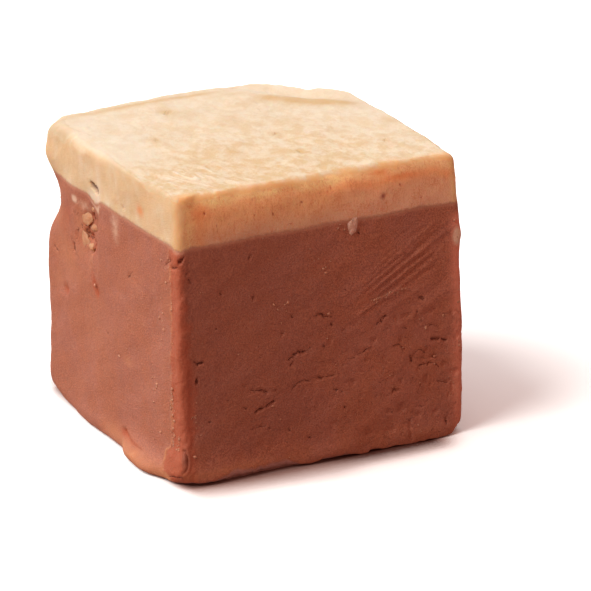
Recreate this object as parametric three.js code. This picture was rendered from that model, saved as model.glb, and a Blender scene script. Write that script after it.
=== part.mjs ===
// A cut cube of layered nougat, about one inch across: a chocolate nougat base with a pale nut
// nougat layer poured over it. It was cut from a slab with a knife, so three upright edges are
// sharp, the back right one is the slab's own blunt corner, and the soft base has spread at its foot.
//
// Millimetres, +Z up. The origin is the centre of the underside. The broad cut face looks along -Y.
// Both layers are one closed skin each: loops round the plan outline, stacked from the bottom up,
// and a cap at each end. Every loop has the same number of points.

import * as THREE from "three";

// ---- driving dimensions ----
const HALF_WIDTH = 12.7; // from the middle to a cut side at half height
const JOIN_Z = 20.0; // where the pale layer starts
const TOP_Z = 24.0; // top surface at the front left corner
const TOP_RISE = 0.45; // how much higher the middle of the top is
const JOIN_GAP = 0.3; // left free between the two layers

const FOOT_RADIUS = 0.6; // rounding between the underside and the sides
const RIM_RADIUS = 0.75; // rounding between the sides and the top

// Plan corners at the top, counter-clockwise from the front left one, with their edge radii.
// The back right corner of the cube is blunt, so it takes two of them.
const CORNERS = [
  { x: -12.4, y: -12.8, radius: 0.5 },
  { x: 12.65, y: -12.4, radius: 0.6 },
  { x: 13.3, y: 7.3, radius: 1.4 },
  { x: 7.0, y: 13.2, radius: 4.0 },
  { x: -12.7, y: 12.8, radius: 1.6 },
];

// The sides in order are front, right, back and left.
const BOWS = [0.05, 0.35, 0.6, 0.25]; // how far the middle of each side stands out
const BOW_REACH = 10.2; // and how far from the middle that goes
const LEANS = [0.35, 0.55, 0.1, 0.6]; // how much further out each side's start stands at the foot

// The foot's own swelling: its height, how uneven that is, and where it sits.
const FOOT_SWELL = { height: 0.22, uneven: 0.6, z: 0.9, tall: 1.0 };

// Local swellings and dents of the sides: a smooth bump of this height round one place.
// side counts from the front one, along is x or y on that side, and spread and tall are its reach.
const FEATURE_FADE = 1.2; // how far a feature near an edge reaches round it
const SIDE_FEATURES = [
  { side: 3, along: -6.9, z: 0.5, spread: 2.5, tall: 1.2, height: 1.1 }, // squashed lobe of the foot
  { side: 3, along: 4.3, z: 17.0, spread: 1.5, tall: 1.9, height: -1.1 }, // torn hollow below the join
  { side: 3, along: 12.4, z: 17.5, spread: 2.2, tall: 2.1, height: -0.8 }, // nick in the back left edge
  { side: 3, along: 12.6, z: 0.0, spread: 3.2, tall: 1.6, height: -1.1 }, // worn foot of the back left edge
  { side: 0, along: -12.6, z: 0.0, spread: 1.6, tall: 0.9, height: -0.6 }, // undercut below the near edge
  { side: 0, along: 12.3, z: 17.4, spread: 0.9, tall: 0.9, height: 0.25 }, // flake on the front right edge
  { side: 1, along: 1.5, z: 9.0, spread: 3.5, tall: 4.5, height: -0.4 }, // shallow dent
  { side: 2, along: -4.0, z: 6.5, spread: 4.0, tall: 4.0, height: 0.3 }, // soft swelling
  { side: 2, along: 3.5, z: 15.5, spread: 2.6, tall: 3.0, height: -0.35 }, // soft dent
];

// The front left edge carries a rolled burr up to the join, with a nodule at its foot.
const BURR = { reach: 0.75, height: 0.22, topZ: 19.6, noduleZ: 2.0, noduleTall: 1.2, nodule: 0.3 };

// A lip along the blunt back corner, with a groove in front of it.
const LIP = { alongDiagonal: 14.6, width: 0.9, height: 0.35, grooveAt: 12.5, groove: -0.5, spread: 4.5 };

// Slow waves of the whole skin, the unevenness of a hand-cut sweet: each is a height times the
// sines of one or two slanting distances, and a slant is [per x, per y, per z, start].
const WAVES = [
  { height: 0.07, slants: [[0.52, 0, 0, 1.1], [0, 0.43, -0.38, 0.6]] },
  { height: 0.05, slants: [[0.31, 0.74, 0.55, 2.0]] },
  { height: 0.03, slants: [[1.15, 0, -0.9, 0.4], [0, 1.05, 1.2, 0]] },
];
const TOP_WAVES = { share: 0.6, scale: 1.3, z: 3 }; // the same waves on the top, lower and closer

// ---- resolution ----
const SIDE_STEPS = 24; // points along each side
const CORNER_CLUSTER = 0.75; // 0 spaces them evenly, near 1 crowds them at the corners
const BASE_ROWS = 17;
const PALE_ROWS = 3;
const ROUND_ROWS = 4; // rows in each rounding

// ---- plan outline ----
const unit = (a, b) => new THREE.Vector2().subVectors(b, a).normalize();
const corners = CORNERS.map((corner) => new THREE.Vector2(corner.x, corner.y));

// Each corner's arc: its centre, its two tangent points and the angle it turns through.
const arcs = CORNERS.map(({ radius }, k) => {
  const arriving = unit(corners.at(k - 1), corners[k]);
  const leaving = unit(corners[k], corners[(k + 1) % corners.length]);
  const turn = Math.acos(arriving.dot(leaving));
  const tangent = radius * Math.tan(turn / 2);
  const start = corners[k].clone().addScaledVector(arriving, -tangent);
  const end = corners[k].clone().addScaledVector(leaving, tangent);
  const centre = new THREE.Vector2(-arriving.y, arriving.x).multiplyScalar(radius).add(start);
  return { centre, start, end, turn, radius };
});

const onArc = (arc, share) => {
  const from = Math.atan2(arc.start.y - arc.centre.y, arc.start.x - arc.centre.x);
  const angle = from + arc.turn * share;
  const spoke = new THREE.Vector2(Math.cos(angle), Math.sin(angle)).multiplyScalar(arc.radius);
  return spoke.add(arc.centre);
};

// The path round the plan: an arc at each corner and the straight after it, with their lengths.
const stretches = arcs.flatMap((arc, k) => {
  const next = arcs[(k + 1) % arcs.length];
  const bend = (share) => onArc(arc, share);
  const straight = (share) => arc.end.clone().lerp(next.start, share);
  return [
    { length: arc.radius * arc.turn, at: bend },
    { length: arc.end.distanceTo(next.start), at: straight },
  ];
});
const PATH_LENGTH = stretches.reduce((sum, stretch) => sum + stretch.length, 0);

function pathPoint(distance) {
  let left = ((distance % PATH_LENGTH) + PATH_LENGTH) % PATH_LENGTH;
  for (const { length, at } of stretches) {
    if (left <= length) return at(left / length);
    left -= length;
  }
  return stretches[0].at(0);
}

// The path is shared out between the cube's four sides at the middles of these stretches:
// three single corners, and the short straight across the blunt one.
const SIDE_STARTS = [0, 2, 5, 8];
const sideStarts = SIDE_STARTS.map((n) => {
  const before = stretches.slice(0, n).reduce((sum, stretch) => sum + stretch.length, 0);
  return before + stretches[n].length / 2;
});
sideStarts.push(sideStarts[0] + PATH_LENGTH);

// s runs from 0 to 4 round the outline; whole numbers are the starts of the sides.
function outlinePoint(s) {
  const side = Math.floor(s) % 4;
  const even = s - Math.floor(s);
  const share = even - (CORNER_CLUSTER * Math.sin(2 * Math.PI * even)) / (2 * Math.PI);
  return pathPoint(THREE.MathUtils.lerp(sideStarts[side], sideStarts[side + 1], share));
}

// ---- how far the skin stands out from the outline ----
const bump = (distance, reach) => Math.exp(-((distance / reach) ** 2));

function wobble(x, y, z) {
  const swing = ([perX, perY, perZ, start]) => Math.sin(perX * x + perY * y + perZ * z + start);
  const wave = ({ height, slants }) => slants.reduce((product, slant) => product * swing(slant), height);
  return WAVES.reduce((sum, each) => sum + wave(each), 0);
}

// The foot swells unevenly, in slanting waves of its own.
function footSwell(plan, z) {
  const waves = 1 + FOOT_SWELL.uneven * Math.sin(0.8 * plan.x - 0.6 * plan.y);
  return FOOT_SWELL.height * waves * bump(z - FOOT_SWELL.z, FOOT_SWELL.tall);
}

function standOut(s, z, plan) {
  const side = Math.floor(s) % 4;
  const share = s - Math.floor(s);
  const along = side % 2 === 0 ? plan.x : plan.y;
  const lean = THREE.MathUtils.lerp(LEANS[side], LEANS[(side + 1) % 4], share) * (1 - z / TOP_Z);
  const bow = BOWS[side] * Math.max(0, 1 - (along / BOW_REACH) ** 2) ** 2;
  let sum = lean + bow + footSwell(plan, z) + wobble(plan.x, plan.y, z);
  for (const f of SIDE_FEATURES) {
    if (f.side === side || (f.side + 1) % 4 === side || (f.side + 3) % 4 === side) {
      const measured = f.side % 2 === 0 ? plan.x : plan.y;
      const fade = f.side === side ? 1 : bump(acrossFrom(f.side, plan), FEATURE_FADE);
      sum += f.height * fade * bump(measured - f.along, f.spread) * bump(z - f.z, f.tall);
    }
  }
  if (z < BURR.topZ && along < 0) {
    const corner = Math.hypot(plan.x - CORNERS[0].x, plan.y - CORNERS[0].y);
    sum += bump(corner, BURR.reach) * (BURR.height + BURR.nodule * bump(z - BURR.noduleZ, BURR.noduleTall));
  }
  return sum;
}

// How far a plan point lies inside the given side, so that a feature can fade round a corner.
function acrossFrom(side, plan) {
  const reach = [CORNERS[0].y, CORNERS[1].x, CORNERS[3].y, CORNERS[4].x][side];
  return (side % 2 === 0 ? plan.y : plan.x) - reach;
}

// The skin's plan point at s, at height z, drawn in by inset towards the middle.
function skinPlan(s, z, inset) {
  const plan = outlinePoint(s);
  return plan.multiplyScalar(1 + (standOut(s, z, plan) - inset) / HALF_WIDTH);
}

// Height of the top surface: a low dome that tilts up to the back, with the lip and its groove.
function topHeight(x, y) {
  const dome = TOP_RISE * (1 - 0.5 * ((x - 1) / HALF_WIDTH) ** 2) * (0.55 + 0.45 * Math.sin(y / 9));
  const diagonal = (x + y) / Math.SQRT2;
  const sideways = bump((x - y) / Math.SQRT2, LIP.spread);
  const lip = LIP.height * bump(diagonal - LIP.alongDiagonal, LIP.width);
  const groove = LIP.groove * bump(diagonal - LIP.grooveAt, LIP.width);
  const waves = TOP_WAVES.share * wobble(TOP_WAVES.scale * x, TOP_WAVES.scale * y, TOP_WAVES.z);
  return TOP_Z + dome + (lip + groove) * sideways + waves;
}

// ---- skins ----
// Stacks loops of points into walls and closes both ends. rows holds one function of s per loop.
function closedSkin(rows, topCap) {
  const perLoop = 4 * SIDE_STEPS;
  const points = [];
  const triangles = [];
  for (const row of rows) {
    for (let i = 0; i < perLoop; i++) points.push(row((i / SIDE_STEPS) % 4));
  }
  for (let r = 0; r + 1 < rows.length; r++) {
    for (let i = 0; i < perLoop; i++) {
      const next = (i + 1) % perLoop;
      const [a, b] = [r * perLoop + i, r * perLoop + next];
      const [c, d] = [a + perLoop, b + perLoop];
      triangles.push(a, b, d, a, d, c);
    }
  }
  fanCap(points, triangles, 0, perLoop, false);
  const lastLoop = (rows.length - 1) * perLoop;
  if (topCap) latticeCap(points, triangles, lastLoop, perLoop, topCap);
  else fanCap(points, triangles, lastLoop, perLoop, true);

  const geometry = new THREE.BufferGeometry().setFromPoints(points);
  geometry.setIndex(triangles);
  geometry.computeVertexNormals();
  return geometry;
}

// A flat cap: triangles from the loop to its middle.
function fanCap(points, triangles, firstPoint, perLoop, facesUp) {
  const middle = points.length;
  points.push(new THREE.Vector3(0, 0, points[firstPoint].z));
  for (let i = 0; i < perLoop; i++) {
    const [a, b] = [firstPoint + i, firstPoint + ((i + 1) % perLoop)];
    triangles.push(...(facesUp ? [a, b, middle] : [b, a, middle]));
  }
}

// A cap with its own relief: a square lattice whose rings are smaller copies of the loop.
function latticeCap(points, triangles, firstPoint, perLoop, surface) {
  const steps = SIDE_STEPS;
  const index = [];
  for (let j = 0; j <= steps; j++) {
    for (let i = 0; i <= steps; i++) {
      const [a, b] = [(2 * i) / steps - 1, (2 * j) / steps - 1];
      const ring = Math.max(Math.abs(a), Math.abs(b));
      let s = 0;
      if (ring > 0) {
        if (b === -ring) s = (a / ring + 1) / 2;
        else if (a === ring) s = 1 + (b / ring + 1) / 2;
        else if (b === ring) s = 2 + (1 - a / ring) / 2;
        else s = 3 + (1 - b / ring) / 2;
      }
      if (ring === 1) {
        index.push(firstPoint + (Math.round(s * steps) % perLoop));
      } else {
        index.push(points.length);
        points.push(surface(s % 4, ring));
      }
    }
  }
  for (let j = 0; j < steps; j++) {
    for (let i = 0; i < steps; i++) {
      const a = index[j * (steps + 1) + i];
      const b = index[j * (steps + 1) + i + 1];
      const c = index[(j + 1) * (steps + 1) + i];
      const d = index[(j + 1) * (steps + 1) + i + 1];
      triangles.push(a, b, d, a, d, c);
    }
  }
}

// ---- the two layers ----
const wallRow = (z, inset = 0) => (s) => {
  const plan = skinPlan(s, z, inset);
  return new THREE.Vector3(plan.x, plan.y, z);
};

function baseLayer() {
  const rows = [];
  for (let k = 0; k < ROUND_ROWS; k++) {
    const angle = (Math.PI / 2) * (k / ROUND_ROWS);
    rows.push(wallRow(FOOT_RADIUS * (1 - Math.cos(angle)), FOOT_RADIUS * (1 - Math.sin(angle))));
  }
  const top = JOIN_Z - JOIN_GAP / 2;
  const rise = (top - FOOT_RADIUS) / BASE_ROWS;
  for (let k = 0; k <= BASE_ROWS; k++) rows.push(wallRow(FOOT_RADIUS + rise * k));
  return closedSkin(rows);
}

function paleLayer() {
  const rows = [];
  const bottom = JOIN_Z + JOIN_GAP / 2;
  const rimZ = TOP_Z - RIM_RADIUS;
  for (let k = 0; k < PALE_ROWS; k++) rows.push(wallRow(bottom + ((rimZ - bottom) * k) / PALE_ROWS));
  for (let k = 0; k <= ROUND_ROWS; k++) {
    const angle = (Math.PI / 2) * (k / ROUND_ROWS);
    rows.push((s) => {
      const plan = skinPlan(s, rimZ, RIM_RADIUS * (1 - Math.cos(angle)));
      const z = THREE.MathUtils.lerp(rimZ, topHeight(plan.x, plan.y), Math.sin(angle));
      return new THREE.Vector3(plan.x, plan.y, z);
    });
  }
  const cap = (s, ring) => {
    const plan = skinPlan(s, rimZ, RIM_RADIUS).multiplyScalar(ring);
    return new THREE.Vector3(plan.x, plan.y, topHeight(plan.x, plan.y));
  };
  return closedSkin(rows, cap);
}

const chocolate = new THREE.MeshStandardMaterial({ color: 0x9a5844, roughness: 0.6, metalness: 0 });
const pale = new THREE.MeshStandardMaterial({ color: 0xe3b583, roughness: 0.5, metalness: 0 });

const base = new THREE.Mesh(baseLayer(), chocolate);
base.name = "chocolate_base";

const top = new THREE.Mesh(paleLayer(), pale);
top.name = "pale_layer";

const cube = new THREE.Group();
cube.add(base, top);

export default cube;
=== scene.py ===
# Looks for a knife-cut cube of layered nougat: a soft chocolate nougat base, a pale nut nougat
# layer on top, and the nut bits and crumbs that the knife dragged out.
# Lengths in the dictionaries are millimetres, angles are degrees. The broad cut face looks along -Y.
import itertools
import math
import bpy
import numpy as np
from mathutils import Matrix, Vector


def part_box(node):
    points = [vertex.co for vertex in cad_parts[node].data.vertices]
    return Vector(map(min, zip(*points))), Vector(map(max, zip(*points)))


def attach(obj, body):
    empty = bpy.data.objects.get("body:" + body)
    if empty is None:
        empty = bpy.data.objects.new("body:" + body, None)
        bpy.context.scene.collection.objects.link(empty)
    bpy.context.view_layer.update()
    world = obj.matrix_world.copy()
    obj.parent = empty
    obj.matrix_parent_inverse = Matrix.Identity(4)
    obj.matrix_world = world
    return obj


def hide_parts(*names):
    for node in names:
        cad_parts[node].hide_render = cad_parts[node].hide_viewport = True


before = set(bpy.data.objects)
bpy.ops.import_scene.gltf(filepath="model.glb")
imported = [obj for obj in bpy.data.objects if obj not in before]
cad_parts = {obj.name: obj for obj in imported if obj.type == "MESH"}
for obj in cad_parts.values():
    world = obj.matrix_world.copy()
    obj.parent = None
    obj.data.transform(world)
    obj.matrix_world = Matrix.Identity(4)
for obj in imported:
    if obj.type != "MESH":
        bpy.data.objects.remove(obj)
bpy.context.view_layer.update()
mm = 0.001
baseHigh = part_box("chocolate_base")[1]
paleLow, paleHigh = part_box("pale_layer")


# Where the camera stands, in degrees and millimetres.
shot = {
    "azimuth": -26.6,
    "elevation": 19.3,
    "roll": -0.75,
    "distance": 300.0,
    "lens": 220.5,
    "sensor": 36.0,
    "clip": (0.01, 20.0),  # metres
    "aim": (0.0, 0.0, 12.5),
    "aimRight": 3.75,  # the aim is moved this far to the right in the view
    "aimUp": -2.1,
}


# The camera stands at the aim plus distance times its backward direction, and looks back along it.
def placeCamera():
    azimuth, elevation, roll = (math.radians(shot[k]) for k in ("azimuth", "elevation", "roll"))
    back = Vector((
        math.sin(azimuth) * math.cos(elevation),
        -math.cos(azimuth) * math.cos(elevation),
        math.sin(elevation),
    ))
    right = Vector((math.cos(azimuth), math.sin(azimuth), 0))
    up = back.cross(right)
    right, up = (
        right * math.cos(roll) + up * math.sin(roll),
        up * math.cos(roll) - right * math.sin(roll),
    )
    place = Vector(shot["aim"]) + back * shot["distance"] + right * shot["aimRight"] + up * shot["aimUp"]
    data = bpy.data.cameras.new("shotCamera")
    data.lens = shot["lens"]
    data.sensor_width = shot["sensor"]
    data.clip_start, data.clip_end = shot["clip"]
    camera = bpy.data.objects.new("shotCamera", data)
    turn = Matrix((right, up, back)).transposed().to_4x4()
    camera.matrix_world = Matrix.Translation(place * mm) @ turn
    bpy.context.scene.collection.objects.link(camera)
    bpy.context.scene.camera = camera


placeCamera()
print("camera placed")


# A smooth hill of height 1 and this reach.
def bump(distance, reach):
    return np.exp(-((distance / reach) ** 2))


# Rises smoothly from 0 at low to 1 at high, as 3t^2 - 2t^3.
def ramp(value, low, high):
    t = np.clip((value - low) / (high - low), 0, 1)
    return t * t * (3 - 2 * t)


# Value noise from -1 to 1: a random number at every whole-number point of a repeating block,
# blended between the eight nearest points with the smooth curve of ramp.
def valueNoise(x, y, z, seed):
    blockSize = 32
    block = np.random.default_rng(seed).uniform(-1, 1, (blockSize,) * 3)
    cells = [np.floor(c).astype(int) for c in (x, y, z)]
    eased = [ramp(c - cell, 0, 1) for c, cell in zip((x, y, z), cells)]
    total = np.zeros(np.shape(x))
    for corner in itertools.product((0, 1), repeat=3):
        weight = 1.0
        for step, share in zip(corner, eased):
            weight = weight * (share if step else 1 - share)
        total += weight * block[tuple((cell + step) % blockSize for cell, step in zip(cells, corner))]
    return total


# Value noise on a plane, with the size of its cells along both directions in mm. Another level of
# the same block gives other noise.
def flatNoise(u, v, sizeU, sizeV, seed, level=0):
    return valueNoise(u / sizeU, v / sizeV, 0 * u + level, seed)


# Layers of value noise, each half as coarse and half as strong as the one before.
def layeredNoise(x, y, z, size, layers, seed):
    total = np.zeros(np.shape(x))
    for k in range(layers):
        scale = 2**k / size
        total += valueNoise(x * scale, y * scale, z * scale, seed + k) / 2**k
    return total


# Distance from each point to a straight stretch: to the nearest place on it, held between its ends.
def stretchDistance(u, v, start, end):
    du, dv = end[0] - start[0], end[1] - start[1]
    share = np.clip(((u - start[0]) * du + (v - start[1]) * dv) / (du * du + dv * dv + 1e-9), 0, 1)
    return np.hypot(u - start[0] - share * du, v - start[1] - share * dv)


# The cube's outline and its slow unevenness, as in the construction model.
cube = {
    "halfWidth": 12.7,
    "joinHeight": (baseHigh.z + paleLow.z) / 2 / mm,
    "topHeight": paleHigh.z / mm - 0.48,  # the top surface at the front left corner
    "topRise": 0.45,
    "topMiddle": 1.0,  # x of the highest line of the top
    "topTilt": (0.5, 0.55, 0.45, 9.0),  # fall to the sides, share in the middle, share added over this y
    "topWaves": (0.6, 1.3, 3.0),  # strength, crowding and level of the slow waves of the top
    "joinWaves": (0.07, 0.06, 1.3),  # height of the smooth waves, height and size of the ragged ones
    "joinSags": [(-0.3, 1.0), (-0.55, 2.0, 0.9)],  # depth and reaches at the near edge and at the smear
    "smearAt": (-12.5, 2.3),  # on the left side
    # plan corners at the top with their edge radii; the back right corner is blunt and takes two
    "corners": [
        (-12.4, -12.8, 0.65), (12.65, -12.4, 0.6), (13.3, 7.3, 1.4), (7.0, 13.2, 4.0), (-12.7, 12.8, 1.6),
    ],
    "cornerCluster": 0.35,  # 0 spaces the columns evenly, near 1 crowds them at the corners
    "bows": (0.05, 0.35, 0.6, 0.25),  # sides in order: front, right, back, left
    "bowReach": 10.2,
    "leans": (0.35, 0.55, 0.1, 0.6),
    "footSwell": (0.12, 0.6, 0.8, 0.8),  # height, unevenness, level, reach
    "waves": [
        (0.07, [(0.52, 0, 0, 1.1), (0, 0.43, -0.38, 0.6)]),
        (0.05, [(0.31, 0.74, 0.55, 2.0)]),
        (0.03, [(1.15, 0, -0.9, 0.4), (0, 1.05, 1.2, 0)]),
    ],
    # side, place along it, level, reach along, reach up, height
    "swellings": [
        (3, -6.9, 0.5, 2.5, 1.2, 1.1),  # squashed lobe of the foot
        (3, -4.5, 0.7, 1.4, 0.7, 0.55),  # flap beside it
        (3, 8.35, 10.4, 0.50, 0.45, -0.22),  # dent
        (3, 12.4, 21.4, 2.5, 1.1, 0.35),  # pale layer above the nick
        (0, -12.6, 3.0, 1.1, 4.0, -0.32),  # the near edge is worn wider towards the foot
        (3, 12.4, 17.5, 2.2, 2.1, -0.8),  # nick in the back left edge
        (3, 12.6, 0.0, 2.8, 1.1, -0.9),  # worn foot of the back left edge
        (0, -12.6, 0.0, 1.6, 0.9, -0.6),  # undercut below the near edge
        (0, 12.6, 17.35, 0.8, 0.9, 0.20),  # flake on the front right edge
        (1, -12.4, 11.0, 3.0, 5.5, 0.17),  # the front right edge is full half way up
        (0, 12.9, 0.2, 1.3, 1.5, -0.50),  # and worn at its foot
        (1, 1.5, 9.0, 3.5, 4.5, -0.4),
        (2, -4.0, 6.5, 4.0, 4.0, 0.3),
        (2, 3.5, 15.5, 2.6, 3.0, -0.35),
    ],
    "fadeReach": 1.2,  # how far a swelling near an edge reaches round it
    # torn hollow of the left side: steep from, to, gentle end, its length, level, reach, depth
    "hollow": (1.35, 1.85, 7.4, 3.8, 17.0, 2.2, 0.6),
    "burr": (0.6, 0.12, 19.6),  # reach, height and upper end of the rolled burr on the near edge
    # across the blunt corner: place of the ridge, width, height, place of the groove, depth, spread
    "lip": (14.6, 0.9, 0.35, 12.4, -0.32, 4.5),
}


# The plan outline: straight lines between the corners, each corner rounded by an arc that touches
# both lines. Gives points along it, the distance walked at each, and where the four sides start.
def outlinePath():
    arcSteps = 40  # points of each rounded corner
    corners = np.array([c[:2] for c in cube["corners"]])
    points = []
    for k, (_, _, radius) in enumerate(cube["corners"]):
        arriving = corners[k] - corners[k - 1]
        leaving = corners[(k + 1) % len(corners)] - corners[k]
        arriving, leaving = arriving / np.hypot(*arriving), leaving / np.hypot(*leaving)
        turn = math.acos(arriving @ leaving)
        start = corners[k] - arriving * radius * math.tan(turn / 2)
        centre = start + radius * np.array([-arriving[1], arriving[0]])
        angles = math.atan2(*(start - centre)[::-1]) + turn * np.linspace(0, 1, arcSteps)
        points.append(centre + radius * np.stack([np.cos(angles), np.sin(angles)], -1))
    points = np.concatenate(points + [points[0][:1]])
    walked = np.concatenate([[0], np.cumsum(np.hypot(*np.diff(points, axis=0).T))])
    arcEnds = walked[:-1].reshape(len(corners), arcSteps)[:, [0, -1]]
    middles = arcEnds.mean(1)
    blunt = (arcEnds[2, 1] + arcEnds[3, 0]) / 2
    return points, walked, np.array([middles[0], middles[1], blunt, middles[4], middles[0] + walked[-1]])


outlinePoints, outlineWalked, sideStarts = outlinePath()


# Plan point at s, which runs from 0 to 4 round the outline; whole numbers are the starts of the sides.
def outlineAt(s):
    side = np.floor(s).astype(int) % 4
    even = s - np.floor(s)
    share = even - cube["cornerCluster"] * np.sin(2 * np.pi * even) / (2 * np.pi)
    distance = (sideStarts[side] + share * (sideStarts[side + 1] - sideStarts[side])) % outlineWalked[-1]
    x = np.interp(distance, outlineWalked, outlinePoints[:, 0])
    y = np.interp(distance, outlineWalked, outlinePoints[:, 1])
    return x, y, side, even


# Distance from one of the plan corners.
def fromCorner(number, x, y):
    cornerX, cornerY, _ = cube["corners"][number]
    return np.hypot(x - cornerX, y - cornerY)


# Slow waves: each is a height times the sines of one or two slanting distances.
def slowWaves(x, y, z):
    total = 0
    for height, slants in cube["waves"]:
        wave = height
        for perX, perY, perZ, start in slants:
            wave = wave * np.sin(perX * x + perY * y + perZ * z + start)
        total = total + wave
    return total


# How far the skin stands out from the outline: lean, bow, swollen foot, slow waves, the swellings
# of cube["swellings"], the torn hollow of the left side and the burr of the near edge.
def standOut(x, y, z, side, even):
    along = np.where(side % 2 == 0, x, y)
    leans = np.array(cube["leans"])
    lean = (leans[side] + even * (leans[(side + 1) % 4] - leans[side])) * (1 - z / cube["topHeight"])
    bow = np.array(cube["bows"])[side] * np.clip(1 - (along / cube["bowReach"]) ** 2, 0, 1) ** 2
    height, uneven, level, reach = cube["footSwell"]
    foot = height * (1 + uneven * np.sin(0.8 * x - 0.6 * y)) * bump(z - level, reach)
    total = lean + bow + foot + slowWaves(x, y, z)
    corners = cube["corners"]
    across = [y - corners[0][1], x - corners[1][0], y - corners[3][1], x - corners[4][0]]
    for own, place, level, reachAlong, reachUp, height in cube["swellings"]:
        measured = x if own % 2 == 0 else y
        fade = np.where((side - own) % 4 == 2, 0, bump(across[own], cube["fadeReach"]))
        fade = np.where(side == own, 1, fade)
        total += height * fade * bump(measured - place, reachAlong) * bump(z - level, reachUp)
    steepFrom, steepTo, end, length, level, reach, depth = cube["hollow"]
    hollow = depth * ramp(y, steepFrom, steepTo) * ramp(end - y, 0, length) * bump(z - level, reach)
    total = total - np.where(side == 3, hollow, 0)
    reach, height, upper = cube["burr"]
    return total + height * bump(fromCorner(0, x, y), reach) * ramp(upper + 0.3 - z, 0, 0.6)


# The skin's plan point: the outline point moved out from the middle by standOut less inset.
# Also gives the outward direction there, at a right angle to the outline.
def skinAt(s, z, inset):
    x, y, side, even = outlineAt(s)
    grow = 1 + (standOut(x, y, z, side, even) - inset) / cube["halfWidth"]
    step = 0.004  # the direction is measured over this much of s on both sides
    aheadX, aheadY = outlineAt(s + step)[:2]
    behindX, behindY = outlineAt(s - step)[:2]
    outX, outY = aheadY - behindY, behindX - aheadX
    length = np.hypot(outX, outY)
    return x * grow, y * grow, side, outX / length, outY / length


# Level of the join at each plan point: the cutting level with slow waves, lower at the near edge
# and where the pale layer was smeared down the left side.
def joinLevel(x, y):
    smooth, ragged, size = cube["joinWaves"]
    waves = smooth * np.sin(0.9 * x + 0.5 * y) + ragged * flatNoise(x, y, size, size, 51)
    (nearDepth, nearReach), (smearDepth, reachX, reachY) = cube["joinSags"]
    smearX, smearY = cube["smearAt"]
    smearSag = smearDepth * bump(x - smearX, reachX) * bump(y - smearY, reachY)
    return cube["joinHeight"] + waves + (nearDepth * bump(fromCorner(0, x, y), nearReach) + smearSag)


# Distance out towards the blunt corner, and distance across that direction.
def diagonal(x, y):
    return (x + y) / math.sqrt(2), (x - y) / math.sqrt(2)


# Top surface: a low dome that tilts up to the back, the lip and groove of the blunt corner.
def topLevel(x, y):
    fall, least, added, overY = cube["topTilt"]
    bowed = 1 - fall * ((x - cube["topMiddle"]) / cube["halfWidth"]) ** 2
    dome = cube["topRise"] * bowed * (least + added * np.sin(y / overY))
    ridge, width, height, grooveAt, groove, spread = cube["lip"]
    outwards, sideways = diagonal(x, y)
    across = height * bump(outwards - ridge, width) + groove * bump(outwards - grooveAt, width)
    across = across * bump(sideways, spread)
    strength, crowding, level = cube["topWaves"]
    return cube["topHeight"] + dome + across + strength * slowWaves(crowding * x, crowding * y, level)


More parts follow.
